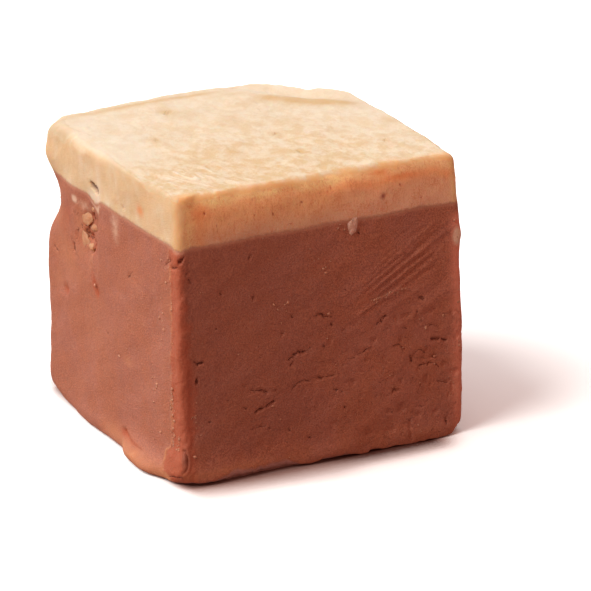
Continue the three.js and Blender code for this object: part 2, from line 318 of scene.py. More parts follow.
# Each crack is a broken line of (along, up) points, then its half width and its depth.
frontCracks = [
    ([(-11.25, 10.55), (-11.0, 10.4), (-10.65, 10.45)], 0.065, 0.28),
    ([(-11.05, 9.2), (-11.1, 8.8)], 0.060, 0.25),
    ([(-6.2, 18.6), (-6.3, 18.3)], 0.085, 0.25),
    ([(-8.8, 15.85), (-8.75, 15.75)], 0.055, 0.14),
    ([(-6.0, 15.1), (-5.95, 14.95)], 0.060, 0.14),
    ([(-2.65, 12.95), (-2.55, 12.8)], 0.055, 0.13),
    ([(-3.55, 11.6), (-3.45, 11.55)], 0.055, 0.13),
    ([(-0.5, 12.5), (-0.15, 12.7), (0.05, 12.62), (0.3, 12.45), (0.6, 12.32)], 0.060, 0.18),
    ([(0.75, 12.3), (0.95, 12.2)], 0.045, 0.10),
    ([(0.95, 11.7), (1.05, 11.5)], 0.055, 0.14),
    ([(-2.5, 9.65), (-2.15, 9.76), (-1.65, 9.68), (-1.5, 9.7)], 0.075, 0.24),
    ([(-1.3, 9.72), (-0.95, 9.95)], 0.050, 0.12),
    ([(-2.95, 9.38), (-2.5, 9.42)], 0.055, 0.16),
    ([(-2.6, 9.2), (-2.8, 8.8)], 0.045, 0.10),
    ([(2.2, 8.3), (2.5, 8.4), (2.9, 8.42)], 0.045, 0.08),
    ([(3.3, 8.62), (3.7, 8.68), (4.1, 8.85), (4.4, 8.9)], 0.060, 0.18),
    ([(5.15, 10.95), (5.4, 11.15)], 0.13, 0.12),
    ([(5.5, 11.35), (5.9, 11.5)], 0.06, 0.14),
    ([(9.1, 12.45), (9.4, 12.35)], 0.10, 0.08),
    ([(9.9, 9.98), (10.2, 9.93), (10.6, 9.9)], 0.045, 0.09),
    ([(10.15, 8.8), (10.35, 8.68), (10.7, 8.62)], 0.070, 0.22),
    ([(11.1, 8.55), (11.3, 8.42), (11.45, 8.45)], 0.065, 0.20),
    ([(6.6, 8.75), (6.95, 8.85), (7.4, 8.6), (7.5, 8.4)], 0.050, 0.10),
    ([(8.15, 7.6), (8.2, 7.15)], 0.060, 0.14),
    ([(8.4, 7.75), (8.75, 8.05), (9.1, 8.0), (9.4, 7.75)], 0.050, 0.12),
    ([(9.05, 6.75), (9.4, 6.72)], 0.060, 0.14),
    ([(9.8, 6.65), (10.15, 6.65)], 0.065, 0.16),
    ([(10.4, 6.5), (10.8, 6.2), (10.9, 5.95)], 0.050, 0.12),
    ([(10.7, 4.95), (11.2, 4.9), (11.6, 4.7)], 0.045, 0.09),
    ([(9.0, 5.2), (9.05, 4.8)], 0.05, 0.08),
    ([(-6.6, 7.42), (-6.2, 7.3), (-5.9, 7.35), (-5.45, 7.2)], 0.045, 0.12),
    ([(-5.35, 7.12), (-5.1, 7.0)], 0.075, 0.20),
    ([(-4.35, 7.0), (-4.2, 6.95)], 0.045, 0.08),
    ([(-7.1, 7.85), (-7.0, 7.78)], 0.060, 0.16),
    ([(-8.5, 6.85), (-8.4, 6.78)], 0.050, 0.10),
    ([(-2.8, 6.8), (-2.3, 7.15), (-1.6, 7.3), (-1.2, 7.2)], 0.040, 0.08),
    ([(-0.35, 7.28), (0.1, 7.25)], 0.055, 0.13),
    ([(0.4, 7.2), (0.7, 7.2), (1.05, 7.25)], 0.050, 0.11),
    ([(-7.05, 5.98), (-6.92, 5.94)], 0.080, 0.22),
    ([(-6.05, 5.52), (-5.6, 5.66), (-5.3, 5.72), (-4.85, 5.88), (-4.45, 6.05)], 0.062, 0.26),
    ([(1.05, 6.1), (1.35, 5.9)], 0.060, 0.13),
    ([(1.6, 5.82), (1.9, 5.75)], 0.045, 0.10),
    ([(-10.15, 5.4), (-10.05, 5.32)], 0.060, 0.14),
    ([(-6.4, 3.95), (-5.8, 4.05), (-5.45, 4.15), (-5.2, 4.1)], 0.045, 0.13),
    ([(-4.9, 3.85), (-4.82, 3.8)], 0.065, 0.20),
    ([(6.45, 4.75), (6.65, 5.0)], 0.060, 0.15),
    ([(6.75, 4.85), (6.95, 4.95)], 0.060, 0.15),
    ([(1.92, 4.35), (1.98, 4.27)], 0.060, 0.13),
    ([(6.3, 3.1), (6.4, 3.05)], 0.05, 0.08),
    ([(-1.25, 2.4), (-1.15, 2.32)], 0.060, 0.11),
    ([(-0.3, 2.65), (-0.15, 2.57)], 0.065, 0.14),
    ([(3.5, 19.05), (3.62, 18.8)], 0.075, 0.18),
    ([(0.7, 16.5), (0.8, 16.4)], 0.050, 0.10),
    ([(-11.6, 17.4), (-11.4, 17.2)], 0.060, 0.12),
    ([(-12.0, 19.4), (-12.3, 19.0), (-12.75, 18.6)], 0.075, 0.24),
    ([(-11.55, 18.1), (-11.8, 17.95)], 0.05, 0.12),
    ([(11.3, 1.7), (11.45, 1.2)], 0.07, 0.14),
    ([(8.9, 3.1), (9.2, 3.0)], 0.045, 0.08),
    ([(5.2, 5.9), (5.4, 5.85)], 0.045, 0.07),
    ([(-9.4, 13.0), (-9.35, 12.92)], 0.045, 0.08),
    ([(2.2, 14.4), (2.3, 14.32)], 0.045, 0.08),
    ([(3.85, 12.1), (4.4, 12.42), (5.1, 12.75)], 0.040, 0.09),
    ([(-3.1, 3.4), (-3.0, 3.3)], 0.05, 0.08),
    ([(0.2, 9.9), (0.3, 9.85)], 0.045, 0.08),
    ([(7.6, 10.2), (7.75, 10.1)], 0.05, 0.08),
    ([(8.7, 11.4), (8.8, 11.3)], 0.05, 0.08),
]
leftCracks = [
    ([(-12.75, 18.6), (-12.2, 18.3), (-11.7, 18.2)], 0.08, 0.24),
    ([(-13.1, 1.05), (-12.4, 0.88), (-11.2, 0.62)], 0.05, 0.12),
    ([(3.20, 18.55), (3.60, 17.85)], 0.16, 0.35),
    ([(4.75, 17.25), (4.85, 16.35)], 0.30, 0.40),
    ([(4.60, 16.45), (3.80, 16.20)], 0.24, 0.30),
    ([(3.05, 15.95), (3.00, 15.55), (3.30, 15.20)], 0.14, 0.35),
    ([(6.98, 14.75), (6.85, 14.40)], 0.14, 0.20),
    ([(6.15, 16.35), (6.50, 15.40)], 0.06, 0.12),
    ([(-4.0, 15.15), (-4.8, 15.9)], 0.06, 0.10),
    ([(10.85, 13.50), (10.25, 13.30)], 0.08, 0.10),
    ([(-10.8, 18.25), (-11.35, 18.7), (-11.8, 18.95)], 0.07, 0.18),
    ([(-0.15, 9.3), (-0.2, 9.25)], 0.05, 0.08),
    ([(-7.4, 12.3), (-7.5, 12.25)], 0.05, 0.08),
]
topCracks = [
    ([(1.8, -6.2), (1.8, -5.7)], 0.14, 0.12),
    ([(-3.4, 8.1), (-3.1, 8.8)], 0.30, 0.04),
    ([(-7.4, 1.9), (-7.2, 2.4)], 0.20, 0.04),
    ([(2.1, -1.0), (2.3, -0.6)], 0.16, 0.04),
    ([(9.1, -6.9), (9.3, -6.4)], 0.12, 0.04),
]
paleFrontCracks = [
    ([(-1.55, 22.25), (-1.45, 22.18)], 0.0495, 0.054),
    ([(-10.05, 22.6), (-9.98, 22.55)], 0.0495, 0.045),
    ([(-4.15, 22.5), (-4.12, 21.9)], 0.0315, 0.027),
    ([(-4.1, 21.8), (-4.08, 21.6)], 0.045, 0.036),
    ([(-8.3, 22.2), (-8.35, 21.7)], 0.0315, 0.027),
    ([(-9.0, 21.5), (-8.95, 21.0)], 0.0315, 0.027),
    ([(-7.5, 21.6), (-7.45, 21.1)], 0.027, 0.023),
    ([(-5.8, 21.9), (-5.75, 21.8)], 0.045, 0.036),
    ([(-2.7, 20.55), (-2.45, 20.65)], 0.0405, 0.045),
    ([(-0.6, 21.9), (-0.5, 21.8)], 0.045, 0.036),
    ([(1.2, 23.0), (1.25, 22.9)], 0.045, 0.036),
    ([(-5.8, 23.1), (-5.75, 23.0)], 0.045, 0.036),
    ([(9.2, 20.9), (9.3, 20.85)], 0.0405, 0.036),
    ([(7.3, 22.35), (7.32, 22.25)], 0.05, 0.02),
]
paleLeftCracks = [
    ([(-3.2, 20.92), (-3.3, 20.83)], 0.08, 0.12),
    ([(-4.65, 20.83), (-4.75, 20.77)], 0.06, 0.10),
]


# Random cracks for the sides that have no list: short lines that lie nearly level, between these
# levels and within this span of the middle.
def scatteredCracks(seed, count, low, high, span):
    rng = np.random.default_rng(seed)
    cracks = []
    for _ in range(count):
        u, v = rng.uniform(-span, span), rng.uniform(low, high)
        length, slope = rng.uniform(0.05, 1.3) ** 1.5, rng.normal(0, 0.3)
        bend = rng.normal(0, 0.08)
        half = length / 2
        points = [(u - half, v), (u, v + slope * half + bend), (u + half, v + slope * length)]
        cracks.append((points, rng.uniform(0.05, 0.08), rng.uniform(0.10, 0.25)))
    return cracks


# How cracks are cut: lengths in mm, and shares of the listed depth and half width.
cutting = {
    "wander": 0.07,  # fine noise shifts the lines by this much
    "farthest": 3.0,  # a crack stays this close to its first point
    "slope": (0.13, 0.2),  # the groove starts this far outside the half width, and this far on it is deep
    "depthShare": (0.3, 0.7),  # what is always there, and what broken stretches lack
    "widthShare": (0.45, 0.6),
    "pointed": 0.05,  # a crack tapers to zero this far past its end, plus its half width
}


# Cuts a list of cracks into a wall. For each point gives the depth of the groove, the signed
# distance across the nearest crack, and that crack's half width, which tapers to zero past its ends.
# The point is shifted by fine noise first, so that the lines come out ragged.
def carve(cracks, u, v, seed):
    farthest, (outside, slope) = cutting["farthest"], cutting["slope"]
    shiftU = cutting["wander"] * flatNoise(u, v, 0.4, 0.4, seed)
    shiftV = cutting["wander"] * flatNoise(u, v, 0.3, 0.3, seed + 2, 9)
    depth, nearest = np.zeros(u.shape), np.full(u.shape, 9.0)
    across, halfWidth = np.full(u.shape, 0.5), np.zeros(u.shape)
    broken = ramp(flatNoise(u, v, 0.33, 0.30, seed + 4, 5), -0.30, 0.25)
    depthShare, widthShare = (cutting[k][0] + cutting[k][1] * broken for k in ("depthShare", "widthShare"))
    for points, width, deep in cracks:
        u0, v0 = points[0]
        close = np.flatnonzero((np.abs(u - u0) < farthest) & (np.abs(v - v0) < farthest))
        if not len(close):
            continue
        du, dv = (u + shiftU).flat[close], (v + shiftV).flat[close]
        for start, end in zip(points, points[1:]):
            distance = stretchDistance(du, dv, start, end)
            runU, runV = end[0] - start[0], end[1] - start[1]
            length = math.hypot(runU, runV) + 1e-6
            signed = (runU * (dv - start[1]) - runV * (du - start[0])) / length
            past = np.sqrt(np.clip(distance**2 - signed**2, 0, None))
            cut = deep * ramp(width + outside - distance, 0, slope) * depthShare.flat[close]
            depth.flat[close] = np.maximum(depth.flat[close], cut)
            chosen = distance < nearest.flat[close]
            better = close[chosen]
            nearest.flat[better] = distance[chosen]
            across.flat[better] = np.clip(signed[chosen], -0.5, 0.5)
            taper = np.clip(1 - past[chosen] / (cutting["pointed"] + width), 0, 1)
            halfWidth.flat[better] = width * taper * widthShare.flat[better]
    return depth, across, halfWidth


# Knife marks on the front, the furrow beside the nodule, and folds of the left side: ridges and,
# with negative heights, furrows. Each is a broken line of (along, up) points, then its half width
# and its height.
knifeMarks = [
    ([(2.6, 11.6), (4.6, 12.55), (5.8, 13.1), (7.2, 13.45), (8.6, 13.5)], 0.15, 0.12),
    ([(3.2, 11.75), (6.6, 13.1)], 0.11, -0.10),
    ([(5.4, 12.75), (11.0, 15.8)], 0.12, 0.16),
    ([(6.4, 13.1), (11.0, 15.2)], 0.13, -0.14),
    ([(4.8, 13.0), (10.6, 16.0)], 0.10, -0.12),
    ([(4.4, 13.1), (11.0, 16.6)], 0.12, 0.15),
    ([(4.0, 13.3), (10.0, 16.45)], 0.10, -0.12),
    ([(3.4, 13.2), (10.2, 16.95)], 0.12, 0.13),
    ([(3.3, 13.5), (9.2, 16.7)], 0.09, -0.09),
    ([(3.0, 13.65), (9.4, 17.15)], 0.11, 0.10),
    ([(2.8, 13.95), (8.8, 17.3)], 0.12, 0.07),
    ([(2.9, 14.45), (9.0, 18.0)], 0.12, 0.04),
    ([(3.0, 15.0), (8.8, 18.45)], 0.13, 0.03),
    ([(3.4, 15.8), (8.2, 18.7)], 0.13, 0.02),
    ([(8.2, 15.8), (12.6, 18.35)], 0.22, 0.11),
    ([(8.0, 16.2), (11.4, 18.3)], 0.14, -0.08),
    ([(6.6, 16.2), (11.6, 19.2)], 0.17, 0.06),
    ([(5.8, 16.5), (10.0, 19.05)], 0.14, 0.04),
    ([(4.8, 16.8), (8.6, 19.1)], 0.14, 0.02),
    ([(9.4, 15.4), (11.8, 16.6)], 0.16, 0.08),
    ([(1.6, 11.1), (3.0, 11.75)], 0.14, -0.05),
    ([(2.0, 12.9), (4.4, 14.15)], 0.14, 0.05),
    ([(5.2, 11.6), (10.2, 13.7)], 0.30, 0.06),
    ([(8.2, 10.9), (12.6, 13.3)], 0.34, 0.07),
    ([(7.2, 11.2), (12.4, 14.2)], 0.26, -0.06),
]
noduleFurrow = [
    ([(-12.6, 3.3), (-12.25, 3.15), (-12.06, 2.6), (-12.1, 1.9), (-12.35, 1.4), (-12.8, 1.2)], 0.10, -0.18),
]
leftFolds = [
    ([(-3.0, 1.85), (-3.7, 1.50), (-4.8, 1.35), (-7.7, 1.40)], 0.22, -0.30),
    ([(-3.3, 1.15), (-4.4, 0.95), (-6.6, 1.05)], 0.38, 0.14),
    ([(-9.0, 1.3), (-10.4, 0.9)], 0.30, 0.07),
    ([(2.95, 13.75), (2.3, 12.75), (1.6, 11.9)], 0.20, -0.30),
]
paleHole = ((2.70, 21.14), (1.80, 20.84), 0.26)  # stretch and half width of the hole in the pale layer


ridgeShape = {
    "narrowed": 0.9,  # the hill is this share of the listed half width
    "uneven": (0.8, 0.35, 1.5),  # share of the listed height, what noise adds to it, size of the noise
}


# Sum of ridges along broken lines: each is a smooth hill across its line, slowly uneven along it,
# and its ends are tapered over this length.
def ridgeLines(lines, u, v, taper):
    share, added, size = ridgeShape["uneven"]
    total = np.zeros(u.shape)
    for number, (points, width, height) in enumerate(lines):
        hill = 0
        for start, end in zip(points, points[1:]):
            hill = np.maximum(hill, bump(stretchDistance(u, v, start, end), ridgeShape["narrowed"] * width))
        low, high = min(points)[0], max(points)[0]
        uneven = share + added * flatNoise(u, v, size, size, 71, number)
        total += height * hill * uneven * ramp(u, low - 0.2, low + taper) * ramp(high + 0.2 - u, -0.01, taper)
    return total


fan = {  # the fan of knife marks on the front
    "corner": (0.0, 10.0),  # the fan lies right of this and above it
    "slope": (0.875, 0.485),  # direction of its lines, along and up
    "middle": (9.8, 13.4),  # across its lines and along them
    "reach": (1.9, 4.2),
    "marks": 0.82,  # share of the listed heights
    "taper": 1.6,
    "fine": 0.05,  # height of the fine lines between the marks
    "wander": 0.012,
}


# The fan: the listed knife marks, and between them noise drawn out along their slope.
def fanRidges(u, v):
    total = np.zeros(u.shape)
    close = np.flatnonzero((u > fan["corner"][0]) & (v > fan["corner"][1]))
    wander = fan["wander"] * flatNoise(u.flat[close], v.flat[close], 0.6, 0.5, 70)
    du, dv = u.flat[close] + wander, v.flat[close] - wander
    run, rise = fan["slope"]
    across, along = run * dv - rise * du, run * du + rise * dv
    fine = flatNoise(across, along, 0.21, 3.2, 73) + 0.5 * flatNoise(across, along, 0.12, 1.6, 74)
    band = bump(across - fan["middle"][0], fan["reach"][0]) * bump(along - fan["middle"][1], fan["reach"][1])
    marks = ridgeLines(knifeMarks, du, dv, fan["taper"])
    total.flat[close] = fan["marks"] * marks + fan["fine"] * fine * band
    return total


rightCracks = scatteredCracks(31, 34, 1.5, 19.0, 11.5)
backCracks = scatteredCracks(32, 34, 1.5, 19.0, 11.5)
paleRightCracks = scatteredCracks(33, 8, 20.4, 22.2, 11.0)
paleBackCracks = scatteredCracks(34, 8, 20.4, 22.2, 11.0)


# All the marks of the side walls: relief in mm, outwards positive, and the crack values of carve.
def wallMarks(x, y, z, side, crackLists):
    relief, across, halfWidth = np.zeros(x.shape), np.full(x.shape, 0.5), np.zeros(x.shape)
    for own, cracks in enumerate(crackLists):
        here = side == own
        along = (x if own % 2 == 0 else y)[here]
        depth, across[here], halfWidth[here] = carve(cracks, along, z[here], 100 + 10 * own)
        relief[here] -= depth
    return relief, across, halfWidth


# Faces of a grid of rows and columns that closes on itself sideways.
def wallFaces(rowCount, columnCount):
    row, column = np.meshgrid(np.arange(rowCount - 1), np.arange(columnCount), indexing="ij")
    a = row * columnCount + column
    b = row * columnCount + (column + 1) % columnCount
    return np.stack([a, b, b + columnCount, a + columnCount], -1).reshape(-1, 4)


# A flat fan from one ring of points to its middle point, turned outwards.
def fanFaces(ring, middle, upwards):
    after = np.roll(ring, -1)
    first, second = (ring, after) if upwards else (after, ring)
    return np.stack([first, second, np.full(len(ring), middle)], -1)


# Puts whole arrays of points and faces into a mesh object. Values are point attributes by name.
# Edges round the flat faces are sharp, so that the walls beside them are shaded on their own.
def meshObject(name, points, smoothFaces, flatFaces=(), values=None):
    arrays = list(smoothFaces) + list(flatFaces)
    sizes = np.concatenate([np.full(len(f), f.shape[1]) for f in arrays])
    loops = np.concatenate([f.reshape(-1) for f in arrays])
    smoothCount = sum(len(f) for f in smoothFaces)
    mesh = bpy.data.meshes.new(name)
    mesh.vertices.add(len(points))
    mesh.vertices.foreach_set("co", (points * mm).astype(np.float32).reshape(-1))
    mesh.loops.add(len(loops))
    mesh.loops.foreach_set("vertex_index", loops.astype(np.int32))
    mesh.polygons.add(len(sizes))
    mesh.polygons.foreach_set("loop_start", np.concatenate([[0], np.cumsum(sizes)[:-1]]).astype(np.int32))
    mesh.polygons.foreach_set("use_smooth", np.arange(len(sizes)) < smoothCount)
    mesh.update(calc_edges=True)
    mesh.validate()
    ends = np.empty(len(mesh.edges) * 2, np.int32)
    mesh.edges.foreach_get("vertices", ends)
    flat = np.isin(ends, np.concatenate([f.reshape(-1) for f in flatFaces] + [[-1]])).reshape(-1, 2).all(1)
    mesh.attributes.new("sharp_edge", "BOOLEAN", "EDGE").data.foreach_set("value", flat)
    for key, value in (values or {}).items():
        attribute = mesh.attributes.new(key, "FLOAT", "POINT")
        attribute.data.foreach_set("value", value.astype(np.float32))
    piece = bpy.data.objects.new(name, mesh)
    bpy.context.scene.collection.objects.link(piece)
    return piece


# The s of every column, counter-clockwise from the near edge, with its own number on each side.
def columnPlaces(counts):
    return np.concatenate([k + np.arange(n) / n for k, n in enumerate(counts)])


# A value for each of the four sides, blended over a short way into the values of the corners where
# the sides start.
def bySide(s, sides, corners):
    places, heights = [], []
    for k in range(4):
        places += [k, k + 0.07, k + 0.93]
        heights += [corners[k], sides[k], sides[k]]
    return np.interp(s % 4, places + [4], heights + [corners[0]])


# A smooth hill of height 1 with a flat top. Its rim ends a quarter outside the reaches and is made
# uneven by noise.
def plateau(x, y, z, centre, reaches):
    rimEnd, rimWidth, rimUneven = 1.25, 0.8, 0.16
    parts = [(c - m) / r for c, m, r in zip((x, y, z), centre, reaches)]
    uneven = rimUneven * layeredNoise(x, y, z, 0.8, 2, 46)
    return ramp(rimEnd + uneven - np.sqrt(sum(part**2 for part in parts)), 0, rimWidth)


# The strip of the near edge, where the knife left a softer skin. Its warmer colour is partly that
# skin's own and partly painted glow of light coming through the edge.
strip = {
    "end": -11.42,  # place along the left side
    "widened": (0.9, 2.9, 0.35, 1.1),  # from and to this level, over this length, it is this much wider
    "wander": (0.12, 0.06),  # slow and quick unevenness of its end
    "reach": ((0, 9, 13, 19), (1.2, 1.05, 0.75, 0.6)),  # levels, and how far it reaches on the front there
    "frontUneven": 0.28,
    # warmth is the strength of the strip's warm colour and painted glow
    "warmth": 0.8,
    "bite": (0.04, 0.025),  # its relief: unevenness of half a millimetre and of a fifth
    "shade": (-12.25, 2.4, 0.45, 0.9, 1.0),  # shaded patch of the front beside the nodule
    "unshaded": 0.85,  # the warm colour loses this share there
    "ridge": (0.08, 0.11),  # height and half width of the ragged ridge at its end
    "border": (0.75, 0.16),  # strength and half width of the tan line there
}


# The place along the left side, at each level, where the strip of the near edge ends.
def edgeBorder(z):
    low, high, over, wider = strip["widened"]
    widened = 0.5 * (np.tanh((z - low) / over) - np.tanh((z - high) / over))
    slow, quick = strip["wander"]
    wander = slow * flatNoise(z, 0 * z, 1.1, 1, 93) + quick * flatNoise(z, 0 * z, 0.35, 1, 95)
    return strip["end"] + wider * widened + wander


# The chocolate base. A pair of brackets holds the values for the four sides, then those for the
# corners where the sides start.
base = {
    "columns": (270, 78, 78, 150),
    "wallRows": 160,
    "footRows": 11,
    "footIn": ((0.60, 0.55, 0.55, 0.30), (0.5, 1.7, 0.8, 0.5)),  # how far the foot is drawn in
    "footUp": ((0.62, 0.5, 0.5, 0.4), (0.35, 1.6, 0.8, 0.5)),  # how high that reaches
    "footUneven": (0.15, 0.16),  # unevenness of both, as shares
    "footCurve": (0.55, 0.45),  # the underside rises steeply first, then this share of it gently
    "frontLip": [  # along the front: level where the lit skin turns under
        (-12.6, 0.30), (-11.5, 0.42), (-9.3, 0.50), (-8.4, 0.90), (-7.5, 1.12), (-6.6, 0.96), (-5.2, 0.86),
        (-4.6, 1.10), (-3.1, 0.96), (-2.1, 0.48), (-1.2, 0.26), (-0.1, 0.46), (1.5, 0.38), (1.8, 0.52),
        (2.4, 0.36), (3.2, 0.12), (3.85, 0.10), (4.05, 0.36), (5.2, 0.16), (8.0, 0.10), (11.2, 0.14),
        (12.6, 0.60),
    ],
    "lipTeeth": 0.14,
    "roughRelief": 0.022,
    "fineRelief": 0.016,
    "tornRelief": 0.06,
    "pits": (0.55, 0.11),  # pits of the coarse part: threshold of the noise, depth
    # lumps of the near edge: centre, reaches and height
    "nodule": ((-12.95, -12.2, 1.95), (0.9, 1.9, 1.2), 0.17),
    "flap": ((-12.75, -12.3, 19.25), (0.55, 1.0, 0.85), 0.10),
    "torn": (1.4, 1.9, 9.5, 3.0, 16.9, 3.4),  # steep from, to, gentle end, its length, level, reach
    "coarseFront": (0.35, 10.0, 6.0, 14.5, 4.0),  # slant, level, half width, upper end and its length
    "coarseSides": (0.12, 0.7, 0.6),  # left side, added where it is torn, hidden sides
    "cornerLight": (0.66, 19.6),  # reach and upper end of the lit front right edge
    "lipLight": (0.5, 0.95, 0.42, 0.15),  # painted light on the lip of the front: strength, level and reach, share on the right
    "flakeSmear": (1.5, 12.5, 0.38, 17.2, 0.75),  # strength, x and reach, level and reach
    "paintedShade": (0.4, 0.8),  # painted shade: strength on the left of the front, and beside the nodule
    "grain": (1.5, 0.75, 0.9),  # grain of the front, how much less where it is coarse, grain elsewhere
}


# Fine relief of the base, outwards positive: soft lumps, grain, pits where the paste is coarse,
# knife marks, the nodule at the foot of the near edge, and the ragged ridge beside that edge.
def baseRelief(x, y, z, side):
    relief = base["roughRelief"] * layeredNoise(x, y, z, 1.5, 2, 81)
    relief += base["fineRelief"] * layeredNoise(x, y, z, 0.42, 2, 85)
    threshold, depth = base["pits"]
    coarse = coarseShare(x, y, z, side)
    relief -= depth * coarse * ramp(layeredNoise(x, y, z, 0.8, 2, 89), threshold, threshold + 0.5)
    relief += np.where(side == 0, fanRidges(x, z), 0)
    relief += np.where(side == 3, ridgeLines(leftFolds, y, z, 0.5), 0)
    relief += np.where(side == 0, ridgeLines(noduleFurrow, x, z, 0.1), 0)
    for key in ("nodule", "flap"):
        centre, reaches, height = base[key]
        relief += height * plateau(x, y, z, centre, reaches)
    onStrip = ramp(1.5 - fromCorner(0, x, y), 0, 0.6) * ramp(19.8 - z, 0, 0.4)
    coarseBite, fineBite = strip["bite"]
    relief += onStrip * coarseBite * layeredNoise(x, y, z / 1.6, 0.55, 2, 45)
    relief += onStrip * fineBite * valueNoise(x / 0.2, y / 0.2, z / 0.22, 47)
    relief += tornShare(y, z, side) * (base["tornRelief"] * layeredNoise(x, y, z, 0.7, 3, 41))
    height, halfWidth = strip["ridge"]
    ridge = bump(y - edgeBorder(z), halfWidth) * ramp(flatNoise(z, y, 0.35, 0.3, 94), -0.3, 0.5)
    return relief + np.where(side == 3, height * ridge * ramp(z, 0.6, 1.0), 0)


# Where the hollow of the left side was torn instead of cut.
def tornShare(along, up, side):
    steepFrom, steepTo, end, length, level, reach = base["torn"]
    torn = ramp(along, steepFrom, steepTo) * ramp(end - along, 0, length) * bump(up - level, reach)
    return np.where(side == 3, torn, 0)


# Where the cut surface is coarse and pitted: the lower right of the front, and some of the other sides.
def coarseShare(x, y, z, side):
    slant, middle, halfWidth, upper, length = base["coarseFront"]
    front = ramp(x + slant * (middle - z), -halfWidth, halfWidth) * ramp(upper - z, 0, length)
    onLeft, whereTorn, hidden = base["coarseSides"]
    return np.where(side == 0, front, np.where(side == 3, onLeft + whereTorn * tornShare(y, z, side), hidden))


# Rows go up from the floor: the underside of the lip, its round edge, then the wall up to the join.
def makeChocolateBase():
    columns = columnPlaces(base["columns"])
    planX, planY = outlineAt(columns)[:2]
    join = joinLevel(planX, planY)
    ragged = flatNoise(planX, planY, 1.1, 1.1, 61) + 0.7 * flatNoise(planX, planY, 0.4, 0.4, 62)
    onFront = bySide(columns, (1, 0, 0, 0), (0.5, 0.5, 0, 0))
    lip = np.interp(planX, *np.array(base["frontLip"]).T) + base["lipTeeth"] * ragged
    unevenIn, unevenUp = base["footUneven"]
    footIn = bySide(columns, *base["footIn"]) * (1 + unevenIn * ragged)
    footUp = bySide(columns, *base["footUp"]) * (1 + unevenUp * ragged) * (1 - onFront)
    footUp += np.clip(lip, 0.08, 2) * onFront
    t = (np.arange(base["footRows"]) / base["footRows"])[:, None]
    steep, gentle = base["footCurve"]
    wallShares = np.linspace(0, 1, base["wallRows"])[:, None]
    underside = footUp * (steep * np.sqrt(t) + gentle * t * t)
    z = np.concatenate([underside, footUp + wallShares * (join - footUp)])
    inset = np.concatenate([footIn * (1 - t) ** 2, np.zeros((base["wallRows"], len(columns)))])
    s = np.tile(columns, (len(z), 1))
    x, y, side, outX, outY = skinAt(s, z, inset)
    marks, across, halfWidth = wallMarks(x, y, z, side, [frontCracks, rightCracks, backCracks, leftCracks])
    fade = ramp(z - 0.5 * footUp, 0, 0.4) * ramp(join - z, -0.05, 0.3)  # at the foot and at the join
    relief = (marks + baseRelief(x, y, z, side)) * fade
    x, y = x + outX * relief, y + outY * relief
    middles = [[0, 0, 0], [0, 0, cube["joinHeight"]]]
    points = np.concatenate([np.stack([x, y, z], -1).reshape(-1, 3), middles])
    ring = np.arange(len(columns))
    bottom = fanFaces(ring, len(points) - 2, False)
    lid = fanFaces(ring + x.size - len(columns), len(points) - 1, True)
    values = baseMasks(x, y, z, side, join)
    # painted light reflected from the floor onto the underside of the lip
    values.update(crackAcross=across, crackWidth=halfWidth, underLip=ramp(footUp - z, 0.05, 0.40))
    values = {k: np.append(v, [0, 0]) for k, v in values.items()}
    return meshObject("chocolateBase", points, [wallFaces(*x.shape)], [bottom, lid], values)


# Patches painted on the left side: along, up, reach along, reach up, strength.
leftPatches = {
    "smear": [
        (2.3, 19.75, 1.0, 0.55, 1.3), (1.9, 18.9, 0.5, 0.7, 0.7), (6.55, 18.92, 0.45, 0.34, 1.1),
        (4.9, 18.75, 1.3, 0.6, 0.55), (-1.6, 19.3, 1.0, 1.1, 0.52), (-1.95, 18.0, 0.7, 1.0, 0.36),
        (7.3, 5.8, 0.6, 0.5, 0.30), (8.5, 19.35, 0.9, 0.4, 0.2), (3.9, 17.0, 0.30, 0.2, 0.5),
        (-6.5, 1.0, 0.5, 0.3, 0.30), (3.3, 14.7, 0.35, 0.8, 0.25), (2.2, 17.3, 0.4, 0.6, 0.35),
    ],
    "tanAndLitLip": [
        (5.2, 16.9, 1.6, 1.9, 0.55), (-3.9, 8.1, 0.7, 0.45, 0.5), (7.9, 13.1, 2.2, 1.6, 0.4),
        (11.0, 17.6, 1.2, 1.6, 0.35), (-6.0, 0.9, 3.2, 0.6, 0.6), (-10.5, 0.6, 3.0, 0.6, 0.6),
        (10.1, 10.9, 1.6, 0.8, 0.3), (3.3, 14.7, 0.35, 0.7, 0.5), (9.4, 15.6, 1.4, 2.6, 0.25),
        (2.3, 9.2, 3.0, 3.0, 0.15), (-1.0, 1.0, 2.0, 0.8, 0.5), (-12.6, 0.4, 1.6, 0.45, 0.7),
        (-10.5, 1.8, 0.35, 0.9, 0.5), (-4.1, 0.9, 1.0, 0.45, 0.3), (-6.5, 1.0, 0.5, 0.3, 0.5),
    ],
    "redPatch": [
        (2.45, 12.95, 0.45, 0.6, 0.9), (1.85, 12.3, 0.45, 0.5, 1.2), (4.2, 16.3, 0.7, 0.5, 0.8),
        (3.4, 18.2, 0.35, 0.5, 0.9), (4.8, 16.9, 0.4, 0.6, 0.7), (8.35, 10.4, 0.6, 0.45, 0.9),
        (8.9, 16.6, 1.0, 1.4, 0.25), (12.2, 19.2, 0.8, 0.5, 0.6), (-3.4, 1.65, 0.8, 0.25, 1.2),
        (2.9, 15.6, 0.4, 0.5, 0.8), (6.0, 15.6, 0.8, 0.5, 0.3), (-5.2, 1.52, 1.4, 0.2, 0.7),
        (7.8, 17.4, 0.7, 0.6, 0.35), (-12.6, 19.2, 0.5, 0.6, 0.4),
    ],
}


# One painted patch is its strength times a hill along and a hill up.
def paintPatches(patches, along, up):
    return sum(
        strength * bump(along - u, reachU) * bump(up - v, reachV)
        for u, v, reachU, reachV, strength in patches
    )
